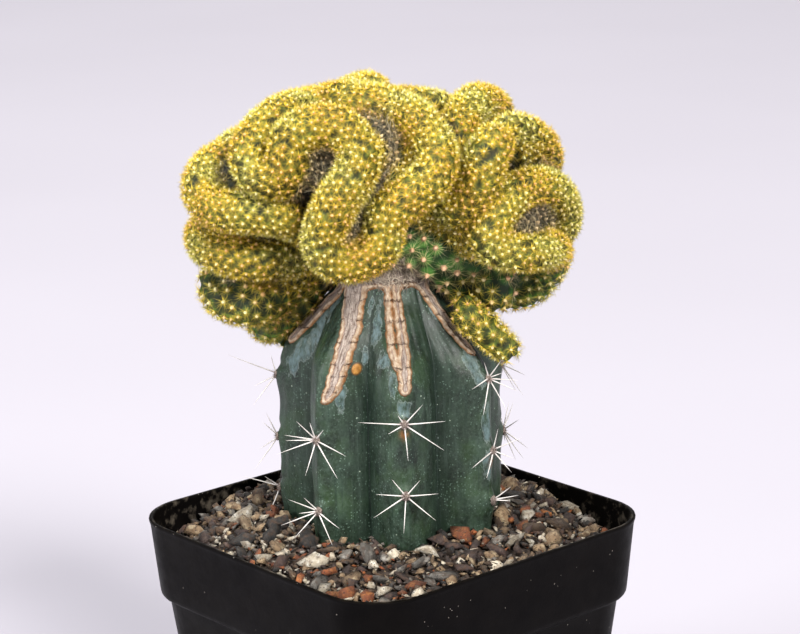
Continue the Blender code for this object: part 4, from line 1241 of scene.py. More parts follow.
def make_stock_spines():
    dice = np.random.default_rng(8)
    feet, ways, lengths, bends = [], [], [], []
    felt_points, felt_faces, hairs = [], [], []
    sphere, sphere_faces = ball(3)
    for rib, heights in AREOLE_HEIGHTS.items():
        angle = math.radians(RIB_ANGLES[rib])
        for height in heights:
            foot, out, side, rise = tangent_frame(angle, height)
            rough = 1 + 0.12 * dice.normal(size=(len(sphere), 1))
            pad = sphere * rough
            pad = (foot + pad[:, :1] * side * 0.95 + pad[:, 1:2] * rise * 1.1
                   + pad[:, 2:] * out * 0.55)
            felt_faces.append(sphere_faces + len(sphere) * len(felt_points))
            felt_points.append(pad)
            for turn, length in star_of(rib, height, dice):
                turn = math.radians(turn)
                if (rib, height) in STARS:
                    flat = np.array([math.cos(turn), 0.0, math.sin(turn)])
                    lean = max(0.3, (0.25 - flat @ out) / max(-out[1], 0.3))
                    way = flat + lean * np.array([0.0, -1.0, 0.0])
                    length *= np.linalg.norm(way)
                    way, flat = unit(way), unit(flat - out * (flat @ out))
                else:
                    flat = side * math.cos(turn) + rise * math.sin(turn)
                    way = unit(flat + out * dice.uniform(0.3, 0.5))
                tip = foot + way * length
                if tip[2] < 1.6:
                    length *= max((foot[2] - 1.6) / max(foot[2] - tip[2], 0.1), 0.0)
                if length < 2.0:
                    continue
                feet.append(foot + out * 0.15 + flat * 0.35)
                ways.append(way)
                lengths.append(length)
                bends.append(flat * dice.uniform(-0.03, 0.05) + out * dice.uniform(-0.05, 0.03))
            for _ in range(46):
                turn = dice.uniform(0, 2 * math.pi)
                flat = side * math.cos(turn) + rise * math.sin(turn)
                hairs.append((foot + flat * dice.uniform(0.1, 0.9) + out * 0.25,
                              unit(flat * dice.uniform(0.2, 1.0) + out), dice.uniform(0.5, 1.0)))
    points, faces = bent_spines(*map(np.array, (feet, ways, lengths, bends)))
    spines = make_piece("stock_spines", from_plant(points), faces, spine_material())
    along = np.append(np.repeat([share for share, _ in SPINE_PROFILE], SPINE_SIDES), 1.0)
    paint(spines, "along", np.tile(along, len(feet)))
    feet, ways, lengths = (np.array(column) for column in zip(*hairs))
    hair_points, hair_faces = needles(feet, ways, lengths, 0.05)
    felt_count = sum(len(p) for p in felt_points)
    points = np.vstack([*felt_points, hair_points])
    faces = [np.vstack([*felt_faces, hair_faces + felt_count])]
    make_piece("stock_areoles", from_plant(points), faces, cushion_material())


def needles(feet, ways, lengths, radius):
    """Straight three-sided needles, open at the foot, which is hidden, as points and faces."""
    feet, ways = np.asarray(feet, float), np.asarray(ways, float)
    side, other = square_axes(ways)
    points = np.empty((len(feet), 4, 3))
    for k in range(3):
        turn = 2 * math.pi * k / 3
        spoke = side * math.cos(turn) + other * math.sin(turn)
        points[:, k] = feet + spoke * np.reshape(radius, (-1, 1))
    points[:, 3] = feet + ways * np.reshape(lengths, (-1, 1))
    return points.reshape(-1, 3), copies([(0, 1, 3), (1, 2, 3), (2, 0, 3)], len(feet), 4)


make_stock_spines()

# %% [markdown]
# ## The crest's ridge lines
#
# Growth on a crested plant happens along a line, and that line is what folds. Each roll
# below is the course of such a ridge: points to the right, to the front and up from the
# middle of the rim, in millimetres. The flesh follows by sweeping a round section along
# the ridge again and again, each time a little deeper towards the graft, and melting all
# of it into one skin with a voxel remesh.

# %% Ridges
FLESH_RADIUS = 3.9
ROLL_DEPTH = 16.0
ROLL_STEP = 2.2
SHALLOW = {"offset": 5.0, "right arch": 4.0}      # rolls that do not reach down so far
# thinner rolls, as a share of the full radius
GIRTH = {"offset": 0.72, "right arch": 0.62, "right curl": 0.88}
ROLLS = {
    "left curl": [(-16, 13, 73), (-18, 17, 74.5), (-23, 20, 77), (-28, 21, 78),
                  (-34, 19, 78), (-38.5, 15, 79), (-40.5, 11, 82), (-39, 6, 85),
                  (-36, 0, 86), (-33, -6, 87.5), (-31, -12, 87)],
    "front meander": [(-15, -2, 96), (-18, 2, 97.5), (-22.5, 10, 97.5), (-26, 15, 95.5),
                      (-28.5, 19, 92.5), (-28.5, 22, 89), (-26, 24, 86.5),
                      (-22.5, 25, 87.5), (-20.5, 26, 91), (-20, 26, 94.5),
                      (-17, 26, 97), (-13.5, 26, 98), (-9, 27, 97.5),
                      (-6, 28, 94.5), (-5, 29, 91), (-6.5, 30, 87),
                      (-9.5, 31, 83), (-12, 31, 78.5), (-13.5, 30, 74),
                      (-12.5, 29, 70), (-8.5, 28, 68), (-4, 28, 69),
                      (-0.5, 28, 72), (0, 28, 76), (2, 28, 79.5), (5.5, 28, 82),
                      (9, 27, 84.5), (11.5, 25, 87), (12, 23, 90), (11, 20, 93),
                      (8.5, 16, 96), (5.5, 11, 97.5), (1.5, 7, 98.5), (-3, 4, 99),
                      (-8, 1, 99), (-11, -4, 98)],
    "right hook": [(26, -12, 94), (23.5, -6, 96.5), (20.5, 0, 97), (18, 6, 94.5),
                   (16.5, 10, 91), (15, 12, 87), (14.5, 14, 82.5), (15, 16, 79),
                   (17.5, 18, 77.5), (20, 20, 80), (22, 21, 84.5), (23, 21, 89),
                   (24.5, 19, 91.5)],
    "right arch": [(24.5, 19, 91.5), (28.3, 14, 94.5), (32.9, 8, 92.6), (36.5, 2, 88.9),
                   (38.3, -4, 84.4), (38.2, -10, 81)],
    "right curl": [(38.5, -8, 65), (41, -2, 68.5), (41, 2, 73.5), (39, 6, 78),
                   (35.5, 10, 80.5), (32, 14, 81), (28.5, 18, 79.5),
                   (25, 21, 76.5), (23.5, 22, 72.5), (25, 22, 69), (29, 21, 67.5),
                   (33.5, 17, 66.5), (37.5, 11, 66), (38.5, 4, 63.5)],
    "right skirt": [(38.5, 4, 63.5), (37.5, 0, 59.5), (36, -3, 56), (33, -5, 53), (29, -6, 52)],
    "low left one": [(-20, 6, 64.5), (-26.5, 12, 65), (-32.5, 13, 66), (-38.5, 9, 67),
                     (-41, 2, 69), (-38.5, -6, 71)],
    "low left two": [(-24, 1, 55), (-27, 5, 53.5), (-32, 6, 53), (-37, 3, 54),
                     (-39, -3, 56.5), (-36, -10, 58)],
    "low left three": [(-23, -2, 49), (-26, -4, 46.5), (-28.5, -8, 45.5), (-29, -14, 47)],
    "offset": [(18.5, 15.8, 51.6), (22.5, 15.6, 48), (26.8, 14, 44)],
    "top knot": [(-2, -5, 99.5), (-4, -12, 99), (-8, -18, 96), (-6, -24, 90),
                 (1, -22, 92), (4, -14, 95), (9, -9, 95.5), (13, -10, 94.5),
                 (14, -16, 92), (12, -22, 89)],
    "back right": [(20, -20, 92), (26, -18, 90), (31, -15, 86), (35, -17, 80),
                   (33, -21, 74), (27, -24, 73), (22, -27, 77), (17, -29, 83),
                   (11, -29, 85), (7, -30, 80), (9, -31, 73), (15, -29, 69),
                   (22, -26, 66), (30, -21, 62), (36, -14, 60)],
    "back left": [(-14, -14, 96), (-20, -10, 95), (-25, -13, 92), (-27, -18, 88),
                  (-22, -23, 87), (-15, -25, 89), (-9, -29, 86), (-4, -31, 80),
                  (-5, -31, 73), (-10, -30, 69), (-16, -28, 72), (-19, -26, 78),
                  (-25, -23, 81), (-31, -18, 81), (-35, -14, 77), (-33, -17, 70),
                  (-27, -22, 68), (-21, -25, 64), (-14, -27, 61)],
    "back low": [(-6, -26, 62), (1, -28, 65), (5, -29, 61), (2, -27, 56),
                 (-5, -25, 55), (-12, -23, 57)],
}
# balls of flesh that fill the body between the rolls: middle and radii
FLESH = [((0, -2, 79), (29, 19, 14)), ((2, 0, 69), (17, 14, 8)),
         ((16, 3, 66), (17, 12, 9)), ((-17, -3, 68), (15, 11, 8)),
         ((28, -4, 63), (10, 9, 10)), ((24, 9, 57.5), (4.5, 4.5, 6)),
         ((-18, 3, 85), (7, 7, 6)), ((2, 9, 87), (6, 6, 5)),
         ((31, 0, 72), (6, 6, 5)), ((-19, -3, 59.5), (8, 8, 6)),
         ((19, 3, 58.5), (7, 8, 6)), ((-21, -3, 53), (6.5, 6.5, 7)),
         ((-16, -5, 57.5), (7, 6, 5)), ((-21, -6, 50), (6, 5, 5)),
         ((-22.5, -5, 44), (4, 4.5, 3.4)), ((-19, -6, 57), (6, 6, 6)),
         ((-13, -4, 60), (6, 6, 4))]
# the hollows that a roll curls round: the roll, how far the banks reach in millimetres,
# whether wool lies in it, and the course of its floor
HOLLOWS = [
    ("front meander", 12.5, True, [(-12.7, 22, 90.5), (-14.8, 21, 87.5)]),
    ("front meander", 17.5, True, [(0, 11, 94), (0.6, 12.5, 90), (0.6, 14, 86), (-1.2, 16, 82)]),
    ("front meander", 12.0, True, [(-3, 17.5, 79.5), (-5, 21, 76.5), (-6.2, 23.5, 72)]),
    ("left curl", 12.0, False, [(-35, 11, 85), (-32.5, 13, 83), (-29, 15, 80.5)]),
    ("right arch", 13.0, False, [(33.4, 0, 86), (32, 1.5, 83), (29.5, 5, 81.5)]),
    ("right curl", 12.5, True, [(36.5, 2, 77), (34.5, 4, 75.5), (32, 7, 73.6), (29, 11, 71.3)]),
]
# deep creases, bare of young growth: openness falls to nothing along them, so the skin, spines and
# wool in them are painted nearly black as shade
SHADED_CREASES = [
    [(-19.5, 14, 84.5), (-17, 20, 82.5), (-16.5, 16, 78.5)],
    [(-17, 21, 85), (-16.5, 21, 81)],
    [(-2.2, 14, 96), (-0.8, 14, 91), (-0.6, 16, 86), (-2.6, 19, 81.5), (-4.4, 23, 77.5)],
    [(-34.5, 11, 84), (-30, 15, 81)],
    [(36, -1, 86.5), (33.5, 1, 86), (31.5, 3, 83), (28.5, 9, 81.5)],
    [(14, 16, 96), (14.5, 10, 92)],
    [(-38, 2, 63), (-30, 12, 60), (-22, 14, 60)],
]
# how strongly a roll grows: weak ones show more green skin between their stars
VIGOUR = {"offset": 0.6, "low left one": 1.0, "low left two": 0.6, "low left three": 0.35,
          "right curl": 0.95, "right skirt": 0.25, "back low": 0.6}
# rolls that hang over: how far below the roll's middle its youngest flesh lies
DROOP = {"right arch": -2.2, "low left one": 1.0, "low left two": 3.6, "low left three": 2.5}


def to_back(points):
    """Right, front, up as right, back, up."""
    return np.asarray(points, float) * (1, -1, 1)


def course(points, step):
    """Even steps along a flowing line through points given as right, front, up."""
    line = flowing(to_back(points), 16)
    walked = np.concatenate([[0], np.cumsum(np.linalg.norm(np.diff(line, axis=0), axis=1))])
    count = max(int(round(walked[-1] / step)), 2)
    at = np.linspace(0, walked[-1], count + 1)
    return np.column_stack([np.interp(at, walked, line[:, k]) for k in range(3)])


def heart_of(points):
    """Where the flesh under each point of a ridge leads to, near the graft."""
    up = np.maximum(70 + 0.45 * (points[:, 2] - 75), 69.0)
    return np.column_stack([0.42 * points[:, 0], 0.30 * points[:, 1], up])


print("ridge lines:", len(ROLLS), "with", sum(map(len, ROLLS.values())), "points")

# %% Melt the rolls into one skin
def tube_arrays(line, radius, sides=12):
    """A closed round tube along a line; the radius is one number or one for each point."""
    along = unit(np.gradient(line, axis=0))
    side = unit(np.cross(along, [0.13, 0.29, 1.0]))
    other = np.cross(along, side)
    turn = np.linspace(0, 2 * math.pi, sides, endpoint=False)
    rings = line[:, None] + fan_out(side, other, turn) * np.reshape(radius, (-1, 1, 1))
    return rings.reshape(-1, 3), *tube_faces(len(line), sides)


def melt(points, quads, tris, voxel, smoothing):
    """Voxel remesh a heap of overlapping solids into one skin; returns points and faces."""
    mesh = bpy.data.meshes.new("heap")
    faces = [tuple(face) for face in quads] + [tuple(face) for face in tris]
    mesh.from_pydata([tuple(point) for point in points], [], faces)
    heap = add_object("heap", mesh)
    remesh = heap.modifiers.new("melt", "REMESH")
    remesh.mode = "VOXEL"
    remesh.voxel_size = voxel
    ease = heap.modifiers.new("ease", "SMOOTH")
    ease.factor = 0.5
    ease.iterations = smoothing
    shape = heap.evaluated_get(bpy.context.evaluated_depsgraph_get())
    made = bpy.data.meshes.new_from_object(shape)
    points = np.empty(len(made.vertices) * 3, np.float32)
    made.vertices.foreach_get("co", points)
    corners = np.empty(len(made.loops), np.int32)
    made.loops.foreach_get("vertex_index", corners)
    counts = np.empty(len(made.polygons), np.int32)
    made.polygons.foreach_get("loop_total", counts)
    assert (counts == 4).all()
    bpy.data.objects.remove(heap)
    return points.reshape(-1, 3).astype(float), corners.reshape(-1, 4)


def largest_part(points, faces):
    """Keep the one connected skin that holds most points."""
    label = np.arange(len(points))
    edges = np.vstack([faces[:, [0, 1]], faces[:, [1, 2]], faces[:, [2, 3]], faces[:, [3, 0]]])
    while True:
        low = np.minimum(label[edges[:, 0]], label[edges[:, 1]])
        fresh = label.copy()
        np.minimum.at(fresh, edges[:, 0], low)
        np.minimum.at(fresh, edges[:, 1], low)
        fresh = fresh[fresh]
        if (fresh == label).all():
            break
        label = fresh
    kept = label == np.bincount(label).argmax()
    index = np.cumsum(kept) - 1
    return points[kept], index[faces[kept[faces[:, 0]]]]


def hollow_webs(sunk=2.6):
    """Tapering spokes from a roll down to the floor of each hollow that it curls round."""
    spokes = []
    for name, reach, _, floor in HOLLOWS:
        line = course(ROLLS[name], 1.5)
        inward = unit(heart_of(line) - line)
        for bottom in course(floor, 2.0):
            near = np.linalg.norm(line - bottom, axis=1) < reach
            for start in (line + inward * sunk)[near]:
                steps = np.linspace(0, 1, 7)[:, None]
                path = start * (1 - steps) + bottom * steps
                spokes.append(tube_arrays(path, 2.8 - 1.2 * steps[:, 0]))
    return spokes


def roll_tubes():
    """Round tubes along every ridge, each a little deeper than the last."""
    tubes = []
    for name, given in ROLLS.items():
        line = course(given, 1.1)
        hearts = heart_of(line)
        depth = np.linalg.norm(line - hearts, axis=1)[:, None]
        for sunk in np.arange(0.0, SHALLOW.get(name, ROLL_DEPTH), ROLL_STEP):
            share = np.minimum(sunk / depth, 0.9)
            inner = line * (1 - share) + hearts * share
            radius = FLESH_RADIUS * GIRTH.get(name, 1.0) * (1 - 0.24 * smoothstep(sunk, 0.0, 6.0))
            tubes.append(tube_arrays(inner, radius))
    return tubes


def flesh_balls():
    """Round ends for the rolls, and the balls that fill the body."""
    sphere, faces = ball(4)
    ends = [(given[k], (FLESH_RADIUS * GIRTH.get(name, 1.0),) * 3)
            for name, given in ROLLS.items() for k in (0, -1)]
    return [(sphere * radii + to_back(middle), np.empty((0, 4), int), faces)
            for middle, radii in ends + FLESH]


def graft_foot(sides=48):
    """The cone with which the crest stands on its stock."""
    turn = np.linspace(0, 2 * math.pi, sides, endpoint=False)
    rings = [np.column_stack([radius * np.cos(turn), radius * np.sin(turn), np.full(sides, up)])
             for radius, up in ((10.6, GRAFT_HEIGHT + 0.35), (17.0, GRAFT_HEIGHT + 12.6))]
    return np.vstack(rings), *tube_faces(2, sides)


def crest_skin(voxel=0.72):
    """All solids of the crest melted into one skin."""
    solids = [*roll_tubes(), *hollow_webs(), *flesh_balls(), graft_foot()]
    points, *faces = zip(*solids)
    starts = np.cumsum([0] + [len(part) for part in points])
    quads, tris = (np.vstack([part + start for part, start in zip(group, starts)])
                   for group in faces)
    return largest_part(*melt(np.vstack(points), quads, tris, voxel, 3))


def clear_of_stock(points, margin=0.3):
    """Push flesh off the stem: outwards beside it, upwards above the graft."""
    floor = GRAFT_HEIGHT + 0.3
    right, front, up = points[:, 0] - STOCK_SHIFT, -points[:, 1], points[:, 2]
    radius, angle = np.hypot(right, front), np.arctan2(right, front)
    needed = np.maximum(stock_radius(angle, up), stock_radius(angle, up - 1.5)) + margin
    close = (up < floor) & (radius < needed)
    lift = close & (floor - up < needed - radius) & (radius < 11.5)
    push = close & ~lift
    points[lift, 2] = floor
    points[push, 0] = needed[push] * np.sin(angle[push]) + STOCK_SHIFT
    points[push, 1] = -needed[push] * np.cos(angle[push])
    return points


body_points, body_faces = crest_skin()
body_points = clear_of_stock(body_points)
print("crest skin:", len(body_points), "points,", len(body_faces), "faces")

# %% [markdown]
# ## What each point of the crest knows
#
# Two measures decide how the crest looks anywhere. The first is how far a point lies
# from the nearest ridge line: the newest growth is on the ridge and the oldest at the
# foot. The second is how open the place is, found by sending out a few rays and counting
# those that get away. In a tight fold the old spines turn grey, and there the skin, the
# spines and the wool are painted darker as shade.

# %% Ridge distance, normals and openness
def normals_of(points, faces):
    """Smooth normals of a mesh of four-sided faces."""
    across = points[faces[:, 2]] - points[faces[:, 0]]
    along = points[faces[:, 3]] - points[faces[:, 1]]
    flat = np.cross(across, along)
    total = np.zeros_like(points)
    for k in range(4):
        np.add.at(total, faces[:, k], flat)
    return unit(total)


def averaged(values, faces, rounds):
    """Blur a value over neighbouring points."""
    for _ in range(rounds):
        total, count = np.zeros_like(values), np.zeros(len(values))
        mean = values[faces].mean(axis=1)
        for k in range(4):
            np.add.at(total, faces[:, k], mean)
            np.add.at(count, faces[:, k], 1.0)
        values = total / np.maximum(count, 1)
    return values


def tree_of(points):
    tree = KDTree(len(points))
    for k, place in enumerate(points):
        tree.insert(place, k)
    tree.balance()
    return tree


def distances(tree, points):
    """Distance from each point to the nearest one in a tree."""
    return np.array([tree.find(point)[2] for point in points])


def ridge_points(step=0.6):
    """Points along all ridges, and the vigour of each one's roll."""
    places, strengths = [], []
    for name, given in ROLLS.items():
        line = course(given, step) - (0, 0, DROOP.get(name, 0.0))
        places.append(line)
        strengths.append(np.full(len(line), VIGOUR.get(name, 1.0)))
    return np.vstack(places), np.concatenate(strengths)


ridge_places, ridge_vigour = ridge_points()
RIDGES = tree_of(ridge_places)
HOLLOW_FLOORS = tree_of(np.vstack([course(floor, 0.6)
                                   for _, _, woolly, floor in HOLLOWS if woolly]))
skin_tree = BVHTree.FromPolygons(body_points.tolist(), body_faces.tolist())
body_normals = normals_of(body_points, body_faces)


def ridge_distance(points):
    """Distance to the nearest ridge line less the roll's radius, and that roll's vigour."""
    found = [RIDGES.find(point) for point in points]
    return (np.array([item[2] for item in found]) - FLESH_RADIUS,
            ridge_vigour[[item[1] for item in found]])


def hollow_distance(points):
    """Distance to the floor of the nearest hollow."""
    return distances(HOLLOW_FLOORS, points)


def openness(points, normals, rays=9, reach=13.0):
    """Share of rays from each point that meet nothing within reach."""
    dice = np.random.default_rng(3)
    fan = unit(dice.normal(size=(rays, 3)))
    free = np.zeros(len(points))
    for k in range(len(points)):
        start = Vector(points[k] + normals[k] * 0.3)
        for ray in fan:
            way = normals[k] * 1.05 + ray
            free[k] += skin_tree.ray_cast(start, Vector(way), reach)[0] is None
    return free / rays


body_age, body_vigour = ridge_distance(body_points)
body_hollow = smoothstep(hollow_distance(body_points), 7.5, 3.5) * smoothstep(body_age, 0.2, 1.8)
body_open = averaged(openness(body_points, body_normals), body_faces, 6)
crease_tree = tree_of(np.vstack([course(line, 0.6) for line in SHADED_CREASES]))
crease_gap = distances(crease_tree, body_points)
# openness is cut to nothing near the creases, which paints them dark as shade
body_open *= smoothstep(crease_gap, 1.5, 5.5)
print("ridge distance up to", round(body_age.max(), 1), "mm, openness", body_open.min().round(2),
      "to", body_open.max().round(2))

# %% [markdown]
# ## Where the spine stars sit
#
# On the rolls the areoles stand in rows that run along the ridge, each row half a step
# from the last. So each roll is walked at even steps, and from each step the section is
# walked outwards to both sides. Every spot is moved onto the skin, and one that lands on
# a neighbouring roll or too close to an earlier spot is dropped. What stays bare is then
# filled at random. The old flesh has stretched, so its areoles stand further apart.

# %% Rows of areoles
ROW_STEP = 1.5
SEAT_STEP = 1.8
OLD_SPACING = 2.9
NEAR_CELL, FAR_CELL = 2.4, 4.0      # the largest spacings that the two grids can keep
SPARE_TRIES = 60000
FINE_STEP = 0.25
ROWS_EACH_SIDE = 9
WIDEST_BEND = 1.75                  # how far round a roll the rows go, in radians


def row_spots():
    """Candidate spots along every ridge, nearest rows first."""
    dice = np.random.default_rng(17)
    spots = []
    for number, given in enumerate(ROLLS.values()):
        fine = course(given, FINE_STEP)
        walked = np.arange(len(fine)) * FINE_STEP
        along = unit(np.gradient(fine, axis=0))
        away = fine - heart_of(fine)
        out = unit(away - along * np.sum(away * along, axis=1)[:, None])
        side = np.cross(along, out)
        for row in range(-ROWS_EACH_SIDE, ROWS_EACH_SIDE + 1):
            at = np.arange(SEAT_STEP * (0.25 + 0.5 * (row % 2)), walked[-1], SEAT_STEP)
            at = np.clip(at + dice.normal(0, 0.17, len(at)), 0, walked[-1])
            k = np.minimum((at / FINE_STEP).astype(int), len(fine) - 1)
            reach = row * ROW_STEP + dice.normal(0, 0.15, len(at))
            bend = np.clip(reach / FLESH_RADIUS, -WIDEST_BEND, WIDEST_BEND)[:, None]
            sink = np.maximum(np.abs(reach) - WIDEST_BEND * FLESH_RADIUS, 0.0)[:, None]
            facing = out[k] * np.cos(bend) + side[k] * np.sin(bend)
            spot = fine[k] + facing * FLESH_RADIUS - out[k] * sink
            spots += [(abs(row), number, *s, *f) for s, f in zip(spot, facing)]
    spots.sort(key=lambda item: item[0])
    return spots


def bare_foot(point):
    """True on the woody foot just above the graft, where no areoles are left."""
    radius = math.hypot(point[0] - STOCK_SHIFT, point[1])
    return point[2] < GRAFT_HEIGHT + 2.2 and radius < 13.5


def seat_areoles():
    """Places and normals of every areole on the crest."""
    near, far = Scatter(NEAR_CELL), Scatter(FAR_CELL)
    seats, ways = [], []

    def claim(place, normal, least):
        if bare_foot(place) or not near.free(place, min(least, NEAR_CELL)):
            return
        if least > NEAR_CELL and not far.free(place, least):
            return
        near.add(place)
        far.add(place)
        seats.append(place)
        ways.append(normal)

    def spacing(point, least):
        _, number, gap = RIDGES.find(point)
        share = float(smoothstep(gap - FLESH_RADIUS, 4.0, 8.0))
        share *= float(smoothstep(HOLLOW_FLOORS.find(point)[2], 6.0, 12.0))
        weak = 1 - ridge_vigour[number]
        least *= 1 + weak * (0.5 + 1.1 * float(smoothstep(gap - FLESH_RADIUS, -0.5, 2.5)))
        return least * (1 - share) + OLD_SPACING * share

    for row, _, x, y, z, fx, fy, fz in row_spots():
        place, normal, _, _ = skin_tree.find_nearest((x, y, z), 1.3)
        if place is None or normal.dot((fx, fy, fz)) < 0.45:
            continue
        claim(place[:], normal[:], spacing(place, 1.25 if row < 2 else 1.35))
    in_rows = len(seats)
    dice = np.random.default_rng(21)
    for k in dice.permutation(len(body_points))[:SPARE_TRIES]:
        claim(tuple(body_points[k]), tuple(body_normals[k]), spacing(body_points[k], 1.5))
    print(in_rows, "areoles in rows,", len(seats) - in_rows, "between them")
    return np.array(seats), np.array(ways)


seats, seat_ways = seat_areoles()
seat_age, seat_vigour = ridge_distance(seats)
seat_gap = hollow_distance(seats)
body_tree = tree_of(body_points)
seat_open = np.array([body_open[body_tree.find(place)[1]] for place in seats])

# %% [markdown]
# ## Tubercles
#
# Under every areole the flesh rises into a small nipple. The skin's points are lifted by
# their distance to the nearest areole, so the grooves between nipples stay where they
# were. The same distance paints shade into the grooves in the material.

# %% Raise the tubercles
def nipple_height(age):
    """Tubercles grow larger with age."""
    return 0.55 + 0.4 * smoothstep(age, 3.0, 8.0)


seat_distance = distances(tree_of(seats), body_points)
breadth = 1.1 + 0.8 * smoothstep(body_age, 4.0, 9.0)
nipple = np.clip(1 - (seat_distance / breadth) ** 2, 0, 1)
lift = nipple * nipple_height(body_age)
raised_points = clear_of_stock(body_points + body_normals * lift[:, None], 0.2)
raised_seats = seats + seat_ways * nipple_height(seat_age)[:, None]


def crest_material():
    made, tree, shader = new_material("crest_skin")
    age, near = attribute(tree, "age"), attribute(tree, "nipple")
    vigour = attribute(tree, "vigour")
    patches = effect(tree, "mottle", Scale=0.24, Detail=5.0, Low=0.42, High=0.66)
    young = blend_colours(tree, patches, "28300c", "6c762c")
    flank = blend_colours(tree, patches, "1a2d12", "3c5c24")
    skin = blend_colours(tree, between(tree, age, 0.2, 2.6), young, flank)
    fuzz = effect(tree, "mottle", Scale=1.6, Detail=7.0, Low=0.46, High=0.6)
    furry = times(tree, fuzz, between(tree, age, 4.0, 0.5, 0.0, 0.6))
    skin = over(tree, skin, furry, "94802a")
    base = blend_colours(tree, patches, "2a561b", "5a903a")
    weak = times(tree, between(tree, vigour, 0.75, 0.3), 0.75)
    skin = blend_colours(tree, weak, skin, base)
    skin = blend_colours(tree, between(tree, age, 4.5, 8.0), skin, base)
    # painted shade in the grooves between the tubercles
    groove_shade = between(tree, near, 0.5, 0.0)
    skin = over(tree, skin, groove_shade, "0b1108", 0.75)
    wool = effect(tree, "mottle", Scale=1.3, Detail=6.0, Low=0.4, High=0.6)
    felt = blend_colours(tree, wool, "0f130a", "403e34")
    skin = blend_colours(tree, times(tree, attribute(tree, "hollow"), 0.8), skin, felt)
    # painted shade: the skin goes nearly black where the place is closed
    closed = between(tree, attribute(tree, "open"), 0.4, 0.04)
    skin = over(tree, skin, closed, "12120b", 0.9)
    fibres = effect(tree, "mottle", Scale=0.9, Stretch=0.25, Detail=6.0, Low=0.38, High=0.62)
    bark = blend_colours(tree, fibres, "4f4032", "ab9882")
    skin = blend_colours(tree, attribute(tree, "foot"), skin, bark)
    feed(tree, shader, {"Base Color": skin, "Roughness": 0.55, "Specular IOR Level": 0.3})
    roughen(tree, shader, 0.2, Scale=1.6, Grain=0.5)
    return made


OLD_BELOW, YOUNG_LIMIT = 72.0, 4.5      # only the flesh low on the crest looks old and green

crest = make_piece("crest_body", from_plant(raised_points), body_faces, crest_material(),
                   ["crest"])
paint(crest, "age", np.where(body_points[:, 2] > OLD_BELOW,
                             np.minimum(body_age, YOUNG_LIMIT), body_age))
paint(crest, "nipple", nipple)
paint(crest, "open", body_open)
paint(crest, "vigour", body_vigour)
paint(crest, "hollow", body_hollow)
foot_share = (smoothstep(body_points[:, 2], GRAFT_HEIGHT + 3.8, GRAFT_HEIGHT + 1.6)
              * smoothstep(np.hypot(body_points[:, 0], body_points[:, 1]), 15.5, 12.5))
paint(crest, "foot", foot_share)

# %% [markdown]
# ## Spines of the crest
#
# Every areole carries a star of fine bristles. On the ridge they are short and upright
# and stand so close that they read as yellow fur. On the flanks they lie flatter and form
# separate stars with a bright centre. In the folds they are old, long and grey, and on
# the bare green flesh low on the front they are thin and pale. All needles are built in
# one go as arrays, and their colours are stored point by point.

# %% Kinds of star
dice = np.random.default_rng(7)
in_hollow = smoothstep(seat_gap, 8.5, 5.0) * smoothstep(seat_age, -0.6, 1.2)
in_fold = np.maximum(smoothstep(seat_open, 0.4, 0.2) * smoothstep(seat_age, 1.5, 3.0), in_hollow)
on_base = smoothstep(seat_age, 4.5, 7.5) * (1 - in_fold) * smoothstep(seat_gap, 7.0, 11.0)
crown = smoothstep(seat_age, 2.4, 0.2) * (0.3 + 0.7 * seat_vigour)
patchiness = (np.sin(seats @ [0.33, 0.21, 0.27]) + np.sin(seats @ [-0.19, 0.41, 0.12] + 2)
              + dice.normal(0, 0.5, len(seats)))

GOLD, LEMON, ORANGE = "ffdf44", "f6f078", "f4b83c"
STRAW, GREY, PALE = "e6e2b6", "c4baa8", "ece476"


def mixed(low, high, share):
    """Colours between two screen codes, one for each share."""
    low, high = np.array([tint(low), tint(high)])
    return low * (1 - share[:, None]) + high * share[:, None]


def towards(colours, goal, share):
    """Move each colour part of the way to a screen code."""
    return colours + (np.array(tint(goal)) - colours) * share[:, None]


star_colour = mixed(GOLD, LEMON, smoothstep(patchiness, -0.2, 1.6) * (0.35 + 0.55 * crown))
star_colour = towards(star_colour, ORANGE, smoothstep(patchiness, -0.9, -2.4) * 0.35)
star_colour = towards(star_colour, PALE, (1 - seat_vigour) * 0.7)
star_colour = towards(star_colour, STRAW, on_base * 0.85)
star_colour = towards(star_colour, GREY, in_fold * 0.92)
print("share of stars in folds:", round(float((in_fold > 0.5).mean()), 2),
      "on the old base:", round(float((on_base > 0.5).mean()), 2))

